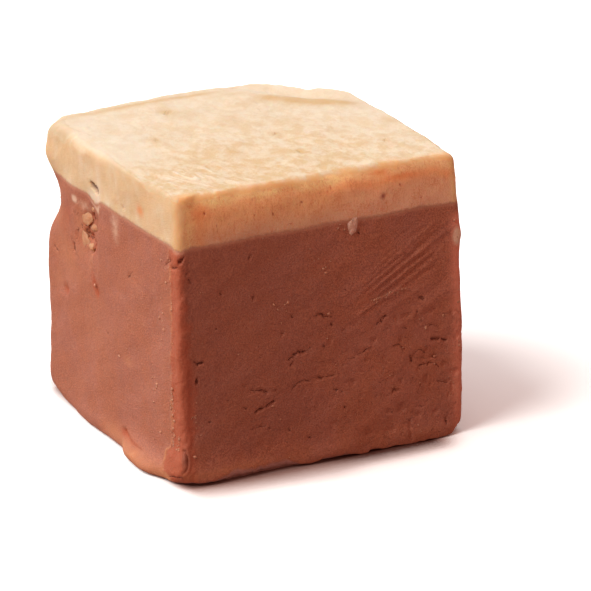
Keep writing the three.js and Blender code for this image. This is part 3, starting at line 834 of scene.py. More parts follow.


# Painted masks of the base: aboveJoin in mm, and shares from 0 to 1 of pale smear, of the warm cut
# edge, partly its own skin and partly painted glow, of painted light on the lit right edge, of painted
# shade on the left of the front and beside the nodule, of tan paste with painted light on the lip of
# the front, of red paste, and of coarse surface, and how grainy it looks.
def baseMasks(x, y, z, side, join):
    left, front = side == 3, side == 0
    painted = {name: np.where(left, paintPatches(patches, y, z), 0) for name, patches in leftPatches.items()}
    reach = np.interp(z, *strip["reach"])
    uneven = strip["frontUneven"] * layeredNoise(x, y, z, 0.8, 2, 43)
    onLeft = ramp(edgeBorder(z) - y, -0.05, 0.3) * ramp(20.2 - z, 0, 0.6)
    edge = np.where(left, onLeft, ramp(reach - fromCorner(0, x, y) + np.where(front, uneven, 0), -0.3, 0.55))
    shaded = np.where(front, paintPatches([strip["shade"]], x, z), 0)
    edge = edge * (1 - strip["unshaded"] * shaded)
    reach, upper = base["cornerLight"]
    rightEdge = bump(fromCorner(1, x, y), reach) * ramp(upper - z, 0, 1)
    strength, level, reach, onRight = base["lipLight"]
    lipLight = strength * bump(z - level, reach) * (onRight + (1 - onRight) * ramp(-x, 0, 8))
    strength, halfWidth = strip["border"]
    border = strength * bump(y - edgeBorder(z), halfWidth) * ramp(flatNoise(z, y, 0.5, 0.3, 96), -0.4, 0.4)
    border = border * ramp(20 - z, 0, 1)
    # the tan mask carries tan paste and also the painted light on the lip of the front
    tan = painted["tanAndLitLip"] * (1 - onLeft) + np.where(front, lipLight, 0) + np.where(left, border, 0)
    strength, flakeX, reachX, level, reachZ = base["flakeSmear"]
    flake = strength * bump(x - flakeX, reachX) * ramp(x, 10, 12) * bump(z - level, reachZ) * ramp(-y, 9, 11)
    paintedShade, shade = base["paintedShade"]
    grain, lessWhereCoarse, grainElsewhere = base["grain"]
    coarse = coarseShare(x, y, z, side)
    return {
        "aboveJoin": np.clip(z - join, -2.5, 2.5),
        "smear": np.clip(painted["smear"] + flake, 0, 1),
        # the near edge: partly its warmer skin, partly painted glow of light coming through the edge
        "edgeWarmthAndGlow": np.clip(strip["warmth"] * edge, 0, 1),
        "edgeLight": np.clip(rightEdge, 0, 1),
        # painted shade: darker on the left of the front and beside the nodule
        "paintedShade": np.where(front, paintedShade * ramp(5 - x, 0, 9) * ramp(z, 1.5, 4) + shade * shaded, 0),
        "tanAndLitLip": np.clip(tan, 0, 1),
        "redPatch": np.clip(painted["redPatch"], 0, 1),
        "coarse": coarse,
        "grainy": np.where(front, grain - lessWhereCoarse * coarse, grainElsewhere),
    }


chocolateBase = makeChocolateBase()
print("chocolate base made:", len(chocolateBase.data.vertices), "points")


# The pale layer, with the values for sides and corners as in the base.
pale = {
    "acrossX": 230,  # columns on the front and back
    "acrossY": 196,  # columns on the two other sides
    "wallRows": 26,
    "rimRows": 11,
    "rimRadius": ((0.55, 0.55, 0.60, 0.45), (0.45, 0.60, 0.9, 0.9)),
    "rimWaviness": ((0.55, 0.16, 0.22, 0.55), (0.40, 0.22, 0.16, 0.40)),
    "shoulder": (-1.0, 9.0, 0.5),  # from this y to this one the rim radius of the left side grows so much
    "frontLean": (0.72, 1.85),  # the front leans back by this much in all, from this height below the top
    "leftOut": 0.10,  # the left side of the pale layer stands out a little
    "roughRelief": 0.030,
    "fineRelief": 0.012,
    "topLumps": 0.035,
    "topGrain": 0.018,
    "ripples": 0.085,
    "rippleLines": (0.12, 0.06, -7.0, 0.15),  # slant, curve in front of this y, waviness
    "rippleSize": (0.30, 2.4),  # across and along
    "rippleWidth": 0.26,
    # patches of fine ripples on the top: x, y, reach along each, strength
    "ripplePatches": [(-8.6, -8.2, 3.2, 3.0, 1.0), (-4.0, -9.8, 4.0, 2.0, 0.5)],
    "holeDepth": 0.5,
    "leanPatchy": (0.65, 0.35, 0.35),  # share of that lean: least, unevenness, added to the right
    # glow, gold, cornerGlow, cornerGold and endGold are painted glow of light coming through the pale layer
    "glow": (1.1, 0.6, 0.25),  # depth below the rim and reach, share on the left
    "gold": (1.15, 0.7, 0.4),  # depth that it reaches to, over this, how much less on the right
    "cornerGlow": (0.6, 1.9, 0.6),  # strength, distance from the near edge, reach
    "cornerGold": (0.9, 0.8, 0.6),
    "endGold": 0.8,  # at the right end of the front
    "pallor": (0.1, 0.75, 0.35, 0.7),  # least, added to the back, to the right and at the blunt corner
    "pallorLeft": (1.0, -11.0, 2.4),  # strength, x and reach of the pale strip along the left rim
    "wallPallor": 0.35,
    "leftSkin": (0.30, 0.35),  # share of skin on the left side, and how uneven it is
    "rimBand": (0.8, 0.35, -12.5),  # painted glow of the warm rim of the front: its reach, its unevenness, y of its middle
    "rimCorner": (0.65, 0.75),  # strength and reach of the painted glow of the rim at the near edge
    "leftRimShade": (0.6, 0.45, 0.8),  # painted shade on the left rim: place on the rim from wall to top, reach, how much less in the middle
    "lipHighlight": 0.8,  # strength of the painted highlight on the crest of the lip of the blunt corner
    "leftShoulder": (-10.6, 0.9),  # x and reach of the glossy shoulder
    "rightCut": 0.6,  # share of the cut look on the right side
}


# The lattice of the top: rings that are smaller copies of the rim, so s and ring of every point.
def latticePlaces():
    a, b = np.meshgrid(
        2 * np.arange(pale["acrossX"] + 1) / pale["acrossX"] - 1,
        2 * np.arange(pale["acrossY"] + 1) / pale["acrossY"] - 1,
        indexing="ij",
    )
    ring = np.maximum(np.abs(a), np.abs(b))
    safe = np.where(ring == 0, 1, ring)
    back, left = 2 + (1 - a / safe) / 2, 3 + (1 - b / safe) / 2
    front, right = (a / safe + 1) / 2, 1 + (b / safe + 1) / 2
    s = np.where(b == -ring, front, np.where(a == ring, right, np.where(b == ring, back, left)))
    return s % 4, ring


# Fine ripples near the front left corner of the top: crests where slow noise, drawn out along
# gently curved lines, crosses zero.
def topRipples(x, y):
    slant, curve, curvedFrom, unevenness = pale["rippleLines"]
    bend = x + slant * y - curve * np.clip(curvedFrom - y, 0, 9) ** 2
    bend = bend + unevenness * flatNoise(x, y, 1.4, 1.6, 91)
    crests = bump(flatNoise(bend, y, *pale["rippleSize"], 92), pale["rippleWidth"])
    broken = ramp(flatNoise(x, y, 0.8, 0.9, 93), -0.7, 0.3)
    return crests * broken * paintPatches(pale["ripplePatches"], x, y)


# Relief of the top: grain, ripples, soft lumps and the pits of topCracks.
def topRelief(x, y):
    depth, across, halfWidth = carve(topCracks, x, y, 95)
    relief = pale["topLumps"] * layeredNoise(x, y, 0 * x, 1.8, 2, 96)
    relief = relief + pale["topGrain"] * layeredNoise(x, y, 0 * x, 0.33, 2, 98)
    return relief + pale["ripples"] * topRipples(x, y) - depth, across, halfWidth


# Rows go up from the join: the wall, then a quarter circle for the rim, then the lattice.
def makePaleTop():
    sideCounts = (pale["acrossX"], pale["acrossY"]) * 2
    columns = columnPlaces(sideCounts)
    count = len(columns)
    planX, planY = outlineAt(columns)[:2]
    join = joinLevel(planX, planY)
    wavy = flatNoise(planX, planY, 1.6, 1.6, 63) + 0.6 * flatNoise(planX, planY, 0.6, 0.6, 64)
    wavy = wavy * bySide(columns, *pale["rimWaviness"])
    radius = bySide(columns, *pale["rimRadius"]) * np.clip(1 + wavy, 0.3, 2)
    shoulderFrom, shoulderTo, grown = pale["shoulder"]
    radius += grown * ramp(planY, shoulderFrom, shoulderTo) * bySide(columns, (0, 0, 0, 1), (0, 0, 0, 0.6))
    rimZ = cube["topHeight"] - radius
    wallZ = join + np.arange(pale["wallRows"])[:, None] / pale["wallRows"] * (rimZ - join)
    angles = (np.pi / 2 * np.arange(pale["rimRows"] + 1) / pale["rimRows"])[:, None]
    s = np.tile(columns, (pale["wallRows"] + pale["rimRows"] + 1, 1))
    z = np.concatenate([wallZ, np.tile(rimZ, (pale["rimRows"] + 1, 1))])
    inset = np.concatenate([0 * wallZ, radius * (1 - np.cos(angles))])
    rise = np.concatenate([0 * wallZ[:, :1], np.sin(angles)])
    leftOut = pale["leftOut"] * bySide(columns, (0, 0, 0, 1), (0.1, 0, 0, 0.5)) * ramp(z - join, 0, 3.5)
    lean, below = pale["frontLean"]
    least, uneven, added = pale["leanPatchy"]
    patchy = least + uneven * flatNoise(planX, 0 * planX, 1.8, 1, 67) + added * ramp(planX, -10, -2)
    rimLift = 0.4 * rise  # on the rim the rows count as a little higher than where it starts
    leanBack = lean * patchy * np.clip((z + rimLift - cube["topHeight"]) / below + 1, 0, 1) ** 2
    leanBack = leanBack * bySide(columns, (1, 0, 0, 0), (0.3, 0, 0, 0))
    x, y, side, outX, outY = skinAt(s, z, inset - leftOut + leanBack)
    crackLists = [paleFrontCracks, paleRightCracks, paleBackCracks, paleLeftCracks]
    marks, across, halfWidth = wallMarks(x, y, z + rimLift, side, crackLists)
    start, end, width = paleHole
    hole = np.where(side == 3, ramp(width + 0.1 - stretchDistance(y, z, start, end), 0, 0.25), 0)
    relief = marks - pale["holeDepth"] * hole + pale["roughRelief"] * layeredNoise(x, y, z, 1.5, 2, 87)
    relief = relief + pale["fineRelief"] * layeredNoise(x, y, z, 0.4, 2, 89)
    relief = relief * ramp(z - join, -0.05, 0.3) * (1 - rise)
    reliefTop, acrossTop, halfWidthTop = topRelief(x, y)
    z = z + rise * (topLevel(x, y) + reliefTop * rise - z)
    x, y = x + outX * relief, y + outY * relief
    onTop = rise > 0.6
    across = np.where(onTop, acrossTop, across)
    halfWidth = np.where(onTop, halfWidthTop, halfWidth)

    # the lattice inside the rim, shaped like the rim and shrunk to the middle
    latticeS, ring = latticePlaces()
    around = np.append(columns, 4)
    rimIndex = np.rint(np.interp(latticeS, around, np.arange(count + 1))).astype(int) % count
    inner = ring < 1
    topX = (np.interp(latticeS, around, np.append(x[-1], x[-1][0])) * ring)[inner]
    topY = (np.interp(latticeS, around, np.append(y[-1], y[-1][0])) * ring)[inner]
    reliefIn, acrossIn, halfWidthIn = topRelief(topX, topY)
    topZ = topLevel(topX, topY) + reliefIn
    index = np.where(inner, 0, z.size - count + rimIndex)
    index[inner] = z.size + np.arange(inner.sum())
    cells = np.stack([index[:-1, :-1], index[1:, :-1], index[1:, 1:], index[:-1, 1:]], -1).reshape(-1, 4)

    # wall, rim and lattice together
    allX, allY, allZ = np.append(x, topX), np.append(y, topY), np.append(z, topZ)
    points = np.concatenate([np.stack([allX, allY, allZ], -1), [[0, 0, cube["joinHeight"]]]])
    flat = np.zeros(topX.shape)
    allSide, aboveJoin = np.append(side, flat + 4), np.append(z - join, flat + 2.5)
    values = paleMasks(allX, allY, allZ, allSide, aboveJoin, np.append(rise + 0 * z, flat + 1))
    values.update(crackAcross=np.append(across, acrossIn), crackWidth=np.append(halfWidth, halfWidthIn))
    values = {k: np.append(v, 0) for k, v in values.items()}
    bottom = fanFaces(np.arange(count), len(points) - 1, False)
    return meshObject("paleTop", points, [wallFaces(*z.shape), cells], [bottom], values)


# Browned spots of the top: x, y, reach along each, strength.
brownSpots = [
    (6.0, 8.3, 1.2, 1.0, 1.0), (8.0, 6.9, 1.4, 1.1, 1.4), (9.7, 5.5, 1.3, 1.1, 1.4),
    (11.3, 4.3, 1.0, 1.0, 0.9), (-8.5, 11.7, 3.0, 0.5, 0.7), (-3.5, 11.9, 3.0, 0.5, 0.85),
    (1.0, 11.9, 2.2, 0.5, 0.8), (4.0, 10.6, 1.4, 0.7, 0.4), (1.8, -5.9, 0.42, 0.8, 1.0),
    (-3.2, 8.5, 0.75, 1.3, 0.8), (-7.3, 2.1, 0.5, 0.9, 0.7), (2.2, -0.8, 0.5, 0.9, 0.6),
    (9.2, -6.6, 0.4, 0.6, 0.5), (-3.1, -4.0, 0.8, 1.2, 0.5), (12.4, -1.8, 0.6, 0.6, 0.5),
    (-9.6, -9.0, 0.8, 1.4, 0.35), (-6.5, -5.5, 0.9, 1.6, 0.4), (0.5, 4.0, 1.2, 2.0, 0.35),
    (4.6, 1.6, 1.0, 1.6, 0.35), (-12.0, 11.5, 1.2, 1.0, 0.35), (-1.5, 7.0, 1.4, 1.2, 0.22),
    (-6.3, 9.3, 1.2, 0.9, 0.22), (3.2, 7.4, 0.9, 1.3, 0.25), (-9.4, 6.6, 0.8, 1.4, 0.20),
]
# Patches of the pale layer: its side, then along, up, reach along, reach up, strength.
palePatches = {
    "tears": (0, [(5.6, 23.45, 0.8, 0.25, 0.9), (7.4, 23.0, 1.4, 0.22, 0.7), (-10.4, 22.6, 1.0, 0.7, 0.4)]),
    "redSpot": (0, [(5.76, 21.58, 0.20, 0.26, 1.0)]),
    "oval": (3, [(-6.3, 21.45, 0.6, 0.45, 0.9)]),
    # lighter streaks of the left side, laid on with the painted highlights of the crests
    "streaks": (3, [
        (1.5, 21.6, 0.55, 1.8, 0.6), (4.7, 22.6, 0.5, 1.3, 0.4), (-2.2, 22.8, 0.5, 1.2, 0.16),
        (2.5, 20.2, 1.1, 0.5, 0.8),
    ]),
}


# Painted masks of the pale layer: aboveJoin in mm, and shares from 0 to 1 of top skin, of its
# pallor and of painted highlights on crests and streaks, of the warm cut face with its painted glow,
# of the painted glow of its warm rim and of the golden top of its cut face, of its paler right part,
# of the painted glow below the rim, of browned spots, of orange tears, of the red spot, of painted
# shade in the hole, of painted shade on the left rim and of the smooth glossy shoulder. Rise runs
# from 0 on the wall to 1 on the top.
def paleMasks(x, y, z, side, aboveJoin, rise):
    left, front = side == 3, side == 0
    under = cube["topHeight"] - z + 0.35 * flatNoise(x, y, 1.3, 1.3, 65)  # depth below the rim
    near = fromCorner(0, x, y)
    # painted glow of light through the layer: below the rim, and lighter near the rim, at the near edge and
    # at the right end
    depth, reach, onLeft = pale["glow"]
    strength, distance, spread = pale["cornerGlow"]
    glow = bump(under - depth, reach) * (onLeft + (1 - onLeft) * ramp(x, -2, 4))
    glow = glow + strength * bump(near - distance, spread)
    depth, reach, less = pale["gold"]
    strength, distance, spread = pale["cornerGold"]
    gold = ramp(depth - under, 0, reach) * (1 - less * ramp(x, 0, 5))
    gold = gold + strength * bump(near - distance, spread) + pale["endGold"] * ramp(x, 11.6, 12.5)
    least, toBack, toRight, toBlunt = pale["pallor"]
    strength, middle, reach = pale["pallorLeft"]
    pallor = least + toBack * ramp(y, -9, 10) + strength * bump(x - middle, reach) * ramp(y, -5, 1)
    pallor = pallor + toRight * ramp(x, 3, 12)
    outwards, sideways = diagonal(x, y)
    pallor = np.clip(pallor + toBlunt * ramp(outwards, 12.5, 13.8), 0, 1)
    lipTop = ramp(outwards, 13.3, 14.3) * bump(sideways, 6.0) * rise
    skin, uneven = pale["leftSkin"]
    leftSkin = np.where(left, skin + uneven * layeredNoise(0 * y, y, z / 1.7, 1.0, 2, 68), 0)
    painted = {
        name: np.where(side == own, paintPatches(patches, y if own % 2 else x, z), 0)
        for name, (own, patches) in palePatches.items()
    }
    # painted glow along the front rim of the top
    reach, uneven, middle = pale["rimBand"]
    reach = np.clip(reach + uneven * layeredNoise(x, y, 0 * x, 0.9, 2, 66), 0.3, 2)
    strength, spread = pale["rimCorner"]
    rimBand = strength * bump(near, spread) + bump(y - middle, reach) * ramp(rise, 0.0, 0.4)
    # painted shade that darkens the brightly lit left rim
    place, reach, less = pale["leftRimShade"]
    leftRimShade = bump(rise - place, reach) * ramp(rise, 0, 0.3) * (1 - less * ramp(y, -2, 2) * ramp(9 - y, 0, 3))
    # the cut faces of front and right are painted warmer and lighter than the left: the cut's grain and
    # streaks, and painted glow of light through the layer
    cutFace = np.where(side == 1, pale["rightCut"] * ramp(8.5 - y, 0, 4), 0)
    cutFace = np.where(front, ramp(near, 0.25, 0.9), cutFace)
    # painted shade in the hole of the left side
    hole = ramp(paleHole[2] - stretchDistance(y, z, *paleHole[:2]), -0.10, 0.08)
    middle, reach = pale["leftShoulder"]
    shoulder = bump(x - middle, reach) * ramp(y, -1, 2.5) * ramp(11.5 - y, 0, 2.5) * rise
    # painted highlight on the crests of the ripples
    crestHighlight = ramp(topRipples(x, y), 0.12, 0.7) * ramp(rise, 0.7, 1.0)
    return {
        "aboveJoin": np.clip(aboveJoin, -2.5, 2.5),
        "topSkin": np.clip(np.maximum(ramp(rise, 0.3, 1.0), leftSkin), 0, 1),
        "pallor": np.where(rise > 0.2, pallor, pale["wallPallor"]),
        "cutFace": (1 - ramp(rise, 0.0, 0.6)) * cutFace,
        "rimWarmGlow": np.clip(rimBand, 0, 1),
        "rimGlow": np.where(front, np.clip(glow, 0, 1), 0),
        "rimGoldGlow": np.where(front, np.clip(gold, 0, 1), 0),
        "cutPallor": np.where(front, ramp(x, 0, 5), 0),
        "hole": np.where(left, hole, 0),
        "redSpot": painted["redSpot"],
        "leftRimShade": np.where(left, leftRimShade, 0),
        "crestHighlight": np.clip(crestHighlight + painted["streaks"] + pale["lipHighlight"] * lipTop, 0, 1),
        "browning": np.clip(paintPatches(brownSpots, x, y) * ramp(rise, 0.5, 1), 0, 1),
        "orangeTear": painted["tears"] + painted["oval"],
        "shoulder": shoulder,
    }


paleTop = makePaleTop()
print("pale layer made:", len(paleTop.data.vertices), "points")


# Place, direction along the side and outward direction, for places along a side and levels.
def onWall(side, along, z):
    s = side + np.linspace(0.02, 0.98, 400)
    x, y = outlineAt(s)[:2]
    run = x if side % 2 == 0 else y
    order = np.argsort(run)
    place = np.interp(along, run[order], s[order])
    x, y, _, outX, outY = skinAt(place, z, 0 * z)
    out = np.stack([outX, outY, 0 * outX], -1)
    return np.stack([x, y, z], -1), np.stack([-outY, outX, 0 * outX], -1), out


# Many small lumps as one mesh. Each is a ball on a grid of turns and rings, with its own half sizes
# along the first axis, the second and outwards, turned by a tilt and roughened by noise. Boxy below
# 1 makes them squarer, and tones scale the random tone of each.
def lumps(name, places, sizes, tilts, seed, turns=8, rings=5, uneven=0.35, boxy=1.0, tones=None):
    centres, alongs, outs = places
    rng = np.random.default_rng(seed)
    count = len(centres)
    downwards, around = np.pi * np.arange(1, rings) / rings, 2 * np.pi * np.arange(turns) / turns
    polar, turned = np.meshgrid(downwards, around, indexing="ij")
    ball = np.stack([np.sin(polar) * np.cos(turned), np.sin(polar) * np.sin(turned), np.cos(polar)], -1)
    ball = np.concatenate([ball.reshape(-1, 3), [[0, 0, 1], [0, 0, -1]]])
    ball = np.sign(ball) * np.abs(ball) ** boxy
    ups = np.cross(outs, alongs)
    cosine, sine = np.cos(tilts)[:, None], np.sin(tilts)[:, None]
    axes = np.stack([alongs * cosine + ups * sine, ups * cosine - alongs * sine, outs], 1)
    spread = ball[None] * 1.3 + rng.uniform(0, 30, (count, 1, 3))
    rough = 1 + uneven * valueNoise(spread[..., 0], spread[..., 1], spread[..., 2], seed + 5)
    fine = 1 + 0.35 * uneven * valueNoise(*np.moveaxis(spread * 2.7, -1, 0), seed + 6)
    shape = ball[None] * sizes[:, None, :] * (rough * fine)[..., None]
    points = centres[:, None, :] + np.einsum("nvk,nkd->nvd", shape, axes)
    ring, turn = np.meshgrid(np.arange(rings - 2), np.arange(turns), indexing="ij")
    a, b = ring * turns + turn, ring * turns + (turn + 1) % turns
    quads = np.stack([a, a + turns, b + turns, b], -1).reshape(-1, 4)
    first = np.arange(turns)
    tips = np.concatenate([
        fanFaces(first, len(ball) - 2, True), fanFaces(first + (rings - 2) * turns, len(ball) - 1, False),
    ])
    starts = (np.arange(count) * len(ball))[:, None, None]
    faces = [(f[None] + starts).reshape(-1, f.shape[1]) for f in (quads, tips)]
    shade = np.repeat(rng.uniform(0, 1, count) * (1 if tones is None else tones), len(ball))
    return meshObject(name, points.reshape(-1, 3), faces, values={"shade": shade})


# The bits are listed one by one: along, up, half length, half height, half thickness, tilt in degrees,
# and how far the middle lies below the skin.
nutBits = {  # in the torn hollow of the left side
    "side": 3,
    "places": [
        (5.00, 17.60, 1.05, 0.56, 0.20, 8, 0.10),
        (3.85, 17.02, 0.66, 0.40, 0.20, 14, 0.09),
        (5.15, 15.65, 0.95, 0.72, 0.18, -20, 0.10),
        (3.72, 15.45, 0.46, 0.36, 0.16, 0, 0.08),
        (3.13, 18.83, 0.34, 0.22, 0.14, 0, 0.08),
    ],
    "shape": {"seed": 21, "turns": 40, "rings": 26, "uneven": 0.32},
}
paleBits = {  # the pale grain at the join of the front
    "side": 0,
    "places": [(2.95, 19.5, 0.36, 0.66, 0.16, -8.0, 0.08)],
    "shape": {"seed": 13, "turns": 60, "rings": 40, "uneven": 0.40, "boxy": 0.72},
}


# Every bit lies along its side, with its middle sunk into the skin by its own depth.
def makeBits(name, bits):
    along, up, *sizes, tilts, sunk = np.array(bits["places"]).T
    centres, alongs, outs = onWall(bits["side"], along, up)
    places = (centres - outs * sunk[:, None], alongs, outs)
    return lumps(name, places, np.stack(sizes, -1), np.radians(tilts), **bits["shape"])


nutPiece = makeBits("nutBits", nutBits)

# Crumbs beside the near edge, in small clusters, and on the knife marks.
crumbs = {
    "edgeCount": 46,
    "size": (0.03, 0.075),
    "flatness": (1.2, 1.0, 0.8),
    "sizeSteps": (1, 1, 1, 2.0),  # one in four is twice as large
    "bounds": (12.2, 1.0, 19.8),  # farthest along a side, lowest and highest
    "tones": (0.35, 0.7),  # on the front, painted darker as shade of that face; elsewhere
    "clusters": [  # side, along, up, spread along, spread up, count
        (3, -11.2, 7.1, 0.16, 0.5, 20), (3, -11.1, 6.5, 0.10, 0.15, 6), (3, -11.3, 3.3, 0.15, 0.25, 8),
        (3, -8.3, 8.5, 0.3, 0.35, 6), (3, -8.25, 7.0, 0.2, 0.2, 4), (3, -9.1, 11.0, 0.4, 0.3, 6),
        (3, -9.6, 13.6, 0.5, 1.6, 10), (3, -10.6, 18.0, 0.5, 0.9, 12), (3, -12.0, 3.4, 0.4, 0.4, 10),
        (3, -9.5, 3.0, 1.2, 0.8, 8), (0, 5.0, 13.05, 0.22, 0.12, 9), (0, 6.9, 13.35, 0.8, 0.1, 14),
        (0, 5.8, 13.25, 0.6, 0.1, 8), (0, -10.4, 16.2, 0.14, 0.2, 5), (0, -0.3, 16.2, 0.6, 0.7, 8),
        (0, -11.15, 6.0, 0.05, 0.3, 6), (0, -3.2, 13.6, 0.3, 0.3, 4), (0, -11.2, 4.3, 0.4, 1.2, 8),
        (0, -7.3, 10.6, 0.03, 0.03, 1), (0, 2.0, 19.7, 0.25, 0.2, 4), (0, 11.6, 17.8, 0.5, 0.8, 6),
        (0, 0.0, 10.0, 8.0, 6.0, 26), (0, 8.5, 7.5, 2.5, 3.0, 22), (1, 2.0, 11.0, 6.0, 5.0, 40),
        (2, 0.0, 10.0, 7.0, 5.0, 40), (3, 2.0, 9.0, 6.0, 5.0, 20),
    ],
}


# A row of crumbs along the end of the near edge's strip, and clusters that are spread normally.
def makeCrumbs():
    rng = np.random.default_rng(77)
    farthest, lowest, highest = crumbs["bounds"]
    up = rng.uniform(1.0, 19.2, crumbs["edgeCount"])
    groups = [(3, edgeBorder(up) + rng.normal(0, 0.10, len(up)), up)]
    for side, along, level, spreadAlong, spreadUp, count in crumbs["clusters"]:
        groups.append((side, rng.normal(along, spreadAlong, count), rng.normal(level, spreadUp, count)))
    spots = [
        onWall(side, np.clip(along, -farthest, farthest), np.clip(level, lowest, highest))
        for side, along, level in groups
    ]
    places = [np.concatenate(parts) for parts in zip(*spots)]
    count = len(places[0])
    sizes = rng.uniform(*crumbs["size"], (count, 3)) * crumbs["flatness"]
    sizes *= rng.choice(crumbs["sizeSteps"], (count, 1))
    tones = np.where(places[2][:, 1] < -0.5, *crumbs["tones"])
    return lumps("cutCrumbs", places, sizes, rng.uniform(0, np.pi, count), 78, turns=8, rings=5, tones=tones)


crumbPiece = makeCrumbs()
paleBitPiece = makeBits("paleBits", paleBits)
print("lumps and crumbs made")


# Puts plain values into inputs and links the ones given as sockets. Plain colours have no alpha.
def fillInputs(tree, node, inputs):
    for key, value in inputs.items():
        socket = node.inputs[key]
        if isinstance(value, bpy.types.NodeSocket):
            tree.links.new(value, socket)
        else:
            socket.default_value = (*value, 1.0) if socket.type == "RGBA" else value
    return node


# A node with its settings made first, because they decide which inputs it has.
def addNode(tree, kind, inputs=None, **settings):
    node = tree.nodes.new(kind)
    for key, value in settings.items():
        setattr(node, key, value)
    return fillInputs(tree, node, inputs or {})


# One step of arithmetic on numbers or sockets.
def mathNode(tree, operation, *values, clamp=False):
    inputs = dict(enumerate(values))
    return addNode(tree, "ShaderNodeMath", inputs, operation=operation, use_clamp=clamp).outputs[0]


# The same for directions, places and colours.
def vectorMath(tree, operation, *values):
    return addNode(tree, "ShaderNodeVectorMath", dict(enumerate(values)), operation=operation).outputs[0]


# The sum of two.
def plus(tree, first, second):
    return mathNode(tree, "ADD", first, second)


# The first less the second.
def minus(tree, first, second):
    return mathNode(tree, "SUBTRACT", first, second)


# The product of two.
def times(tree, first, second):
    return mathNode(tree, "MULTIPLY", first, second)


# The share of the second, and the rest of the first.
def mixColour(tree, share, first, second):
    return addNode(tree, "ShaderNodeMix", {0: share, 6: first, 7: second}, data_type="RGBA").outputs[2]


# Goes from toLow to toHigh along the smooth curve of ramp.
def mapRange(tree, value, low, high, toLow=0.0, toHigh=1.0):
    inputs = {"Value": value, "From Min": low, "From Max": high, "To Min": toLow, "To Max": toHigh}
    return addNode(tree, "ShaderNodeMapRange", inputs, interpolation_type="SMOOTHSTEP").outputs["Result"]


# A mask painted on the points of the mesh.
def readMask(tree, name):
    return addNode(tree, "ShaderNodeAttribute", attribute_name=name, attribute_type="GEOMETRY").outputs["Fac"]


# A node group with a Position in mm, these number inputs with their usual values, and these outputs.
def newGroup(name, inputs, outputs):
    group = bpy.data.node_groups.new(name, "ShaderNodeTree")
    group.interface.new_socket("Position", in_out="INPUT", socket_type="NodeSocketVector")
    for label, value in inputs.items():
        socket = group.interface.new_socket(label, in_out="INPUT", socket_type="NodeSocketFloat")
        socket.default_value = value
    for label in outputs:
        group.interface.new_socket(label, in_out="OUTPUT", socket_type="NodeSocketFloat")
    return group, group.nodes.new("NodeGroupInput").outputs, group.nodes.new("NodeGroupOutput")


# A group in a material, at a position in mm and with the material's own values.
def useGroup(tree, group, place, inputs):
    node = addNode(tree, "ShaderNodeGroup", node_tree=group)
    return fillInputs(tree, node, {"Position": place, **inputs}).outputs


# Noise around a half, with its scale per mm.
def noiseAt(tree, position, scale, detail=2.0, roughness=0.5):
    inputs = {"Vector": position, "Scale": scale, "Detail": detail, "Roughness": roughness}
    return addNode(tree, "ShaderNodeTexNoise", inputs).outputs["Fac"]


# Noise around zero times a strength.
def waver(tree, position, noise, strength):
    return times(tree, minus(tree, noiseAt(tree, position, *noise), 0.5), strength)


# The node groups. Noise is its scale per mm, detail and roughness, and a range is from and to.
groupValues = {
    "grain": (7.5, 2.0, 0.85),
    "mottle": (0.7, 3.0, 0.55),
    "swirl": (6.0, 1.0),
    "swirlShift": (0.16, 0.16, 0.16),
    "fleckSpread": 0.6,  # sizes of flecks grow from this share, by their own random number
    "fleckEdge": 0.45,  # a fleck is full inside this share of its size
    "joinRagged": (3.0, 3.0, 0.6),
    "joinRaggedness": 0.35,
    "joinStep": (-0.45, 0.40),
    "smearStreaks": (2.0, 2.0, 0.5),
    "smearStreakiness": 0.6,
    "smearRange": (0.15, 1.0),
    "smearFade": (0.02, 0.2),
    "crackFine": (7.0, 2.0, 0.5),
    "crackFineShift": 0.14,
    "crackWide": (2.4, 0.0, 0.5),
    "crackWideShift": 0.22,
    "beads": (4.2, 1.0, 0.5),
    "beadRange": (0.40, 0.64, 0.0, 1.5),  # noise from, to, and the share of the half width there
    "crackEdge": (-0.045, 0.035),
    "crackFade": (0.0, 0.03),
    "crackHeight": -0.05,
}


# Fine grain of cut nougat: soft mottling a millimetre wide and grain down to a tenth of that.
# Tone runs from 0 to 1 around 0.5, and Height is in mm.
def makeGrainGroup():
    usual = {"Mottle": 0.5, "Grain": 0.5, "Relief": 0.02}
    group, given, result = newGroup("cutGrain", usual, ["Tone", "Height"])
    fine = minus(group, noiseAt(group, given["Position"], *groupValues["grain"]), 0.5)
    wide = waver(group, given["Position"], groupValues["mottle"], given["Mottle"])
    both = mathNode(group, "MULTIPLY_ADD", fine, given["Grain"], wide)
    tone = mathNode(group, "ADD", both, 0.5, clamp=True)
    fillInputs(group, result, {"Tone": tone, "Height": times(group, fine, given["Relief"])})
    return group


# Small flecks: round cells of a Voronoi pattern, kept where the cell's own random number is below
# Share, with a soft edge.
def makeFleckGroup():
    usual = {"Per Millimetre": 1.0, "Size": 0.2, "Share": 0.3}
    group, given, result = newGroup("flecks", usual, ["Mask"])
    place = given["Position"]
    scale, detail = groupValues["swirl"]
    swirl = addNode(group, "ShaderNodeTexNoise", {"Vector": place, "Scale": scale, "Detail": detail})
    warped = vectorMath(group, "MULTIPLY_ADD", swirl.outputs["Color"], groupValues["swirlShift"], place)
    crowding = {"Vector": warped, "Scale": given["Per Millimetre"]}
    cells = addNode(group, "ShaderNodeTexVoronoi", crowding, feature="F1")
    number = addNode(group, "ShaderNodeSeparateColor", {"Color": cells.outputs["Color"]}).outputs[0]
    kept = mathNode(group, "LESS_THAN", number, given["Share"])
    size = times(group, given["Size"], plus(group, number, groupValues["fleckSpread"]))
    inner = times(group, size, groupValues["fleckEdge"])
    inCell = mapRange(group, cells.outputs["Distance"], size, inner)
    fillInputs(group, result, {"Mask": times(group, inCell, kept)})
    return group


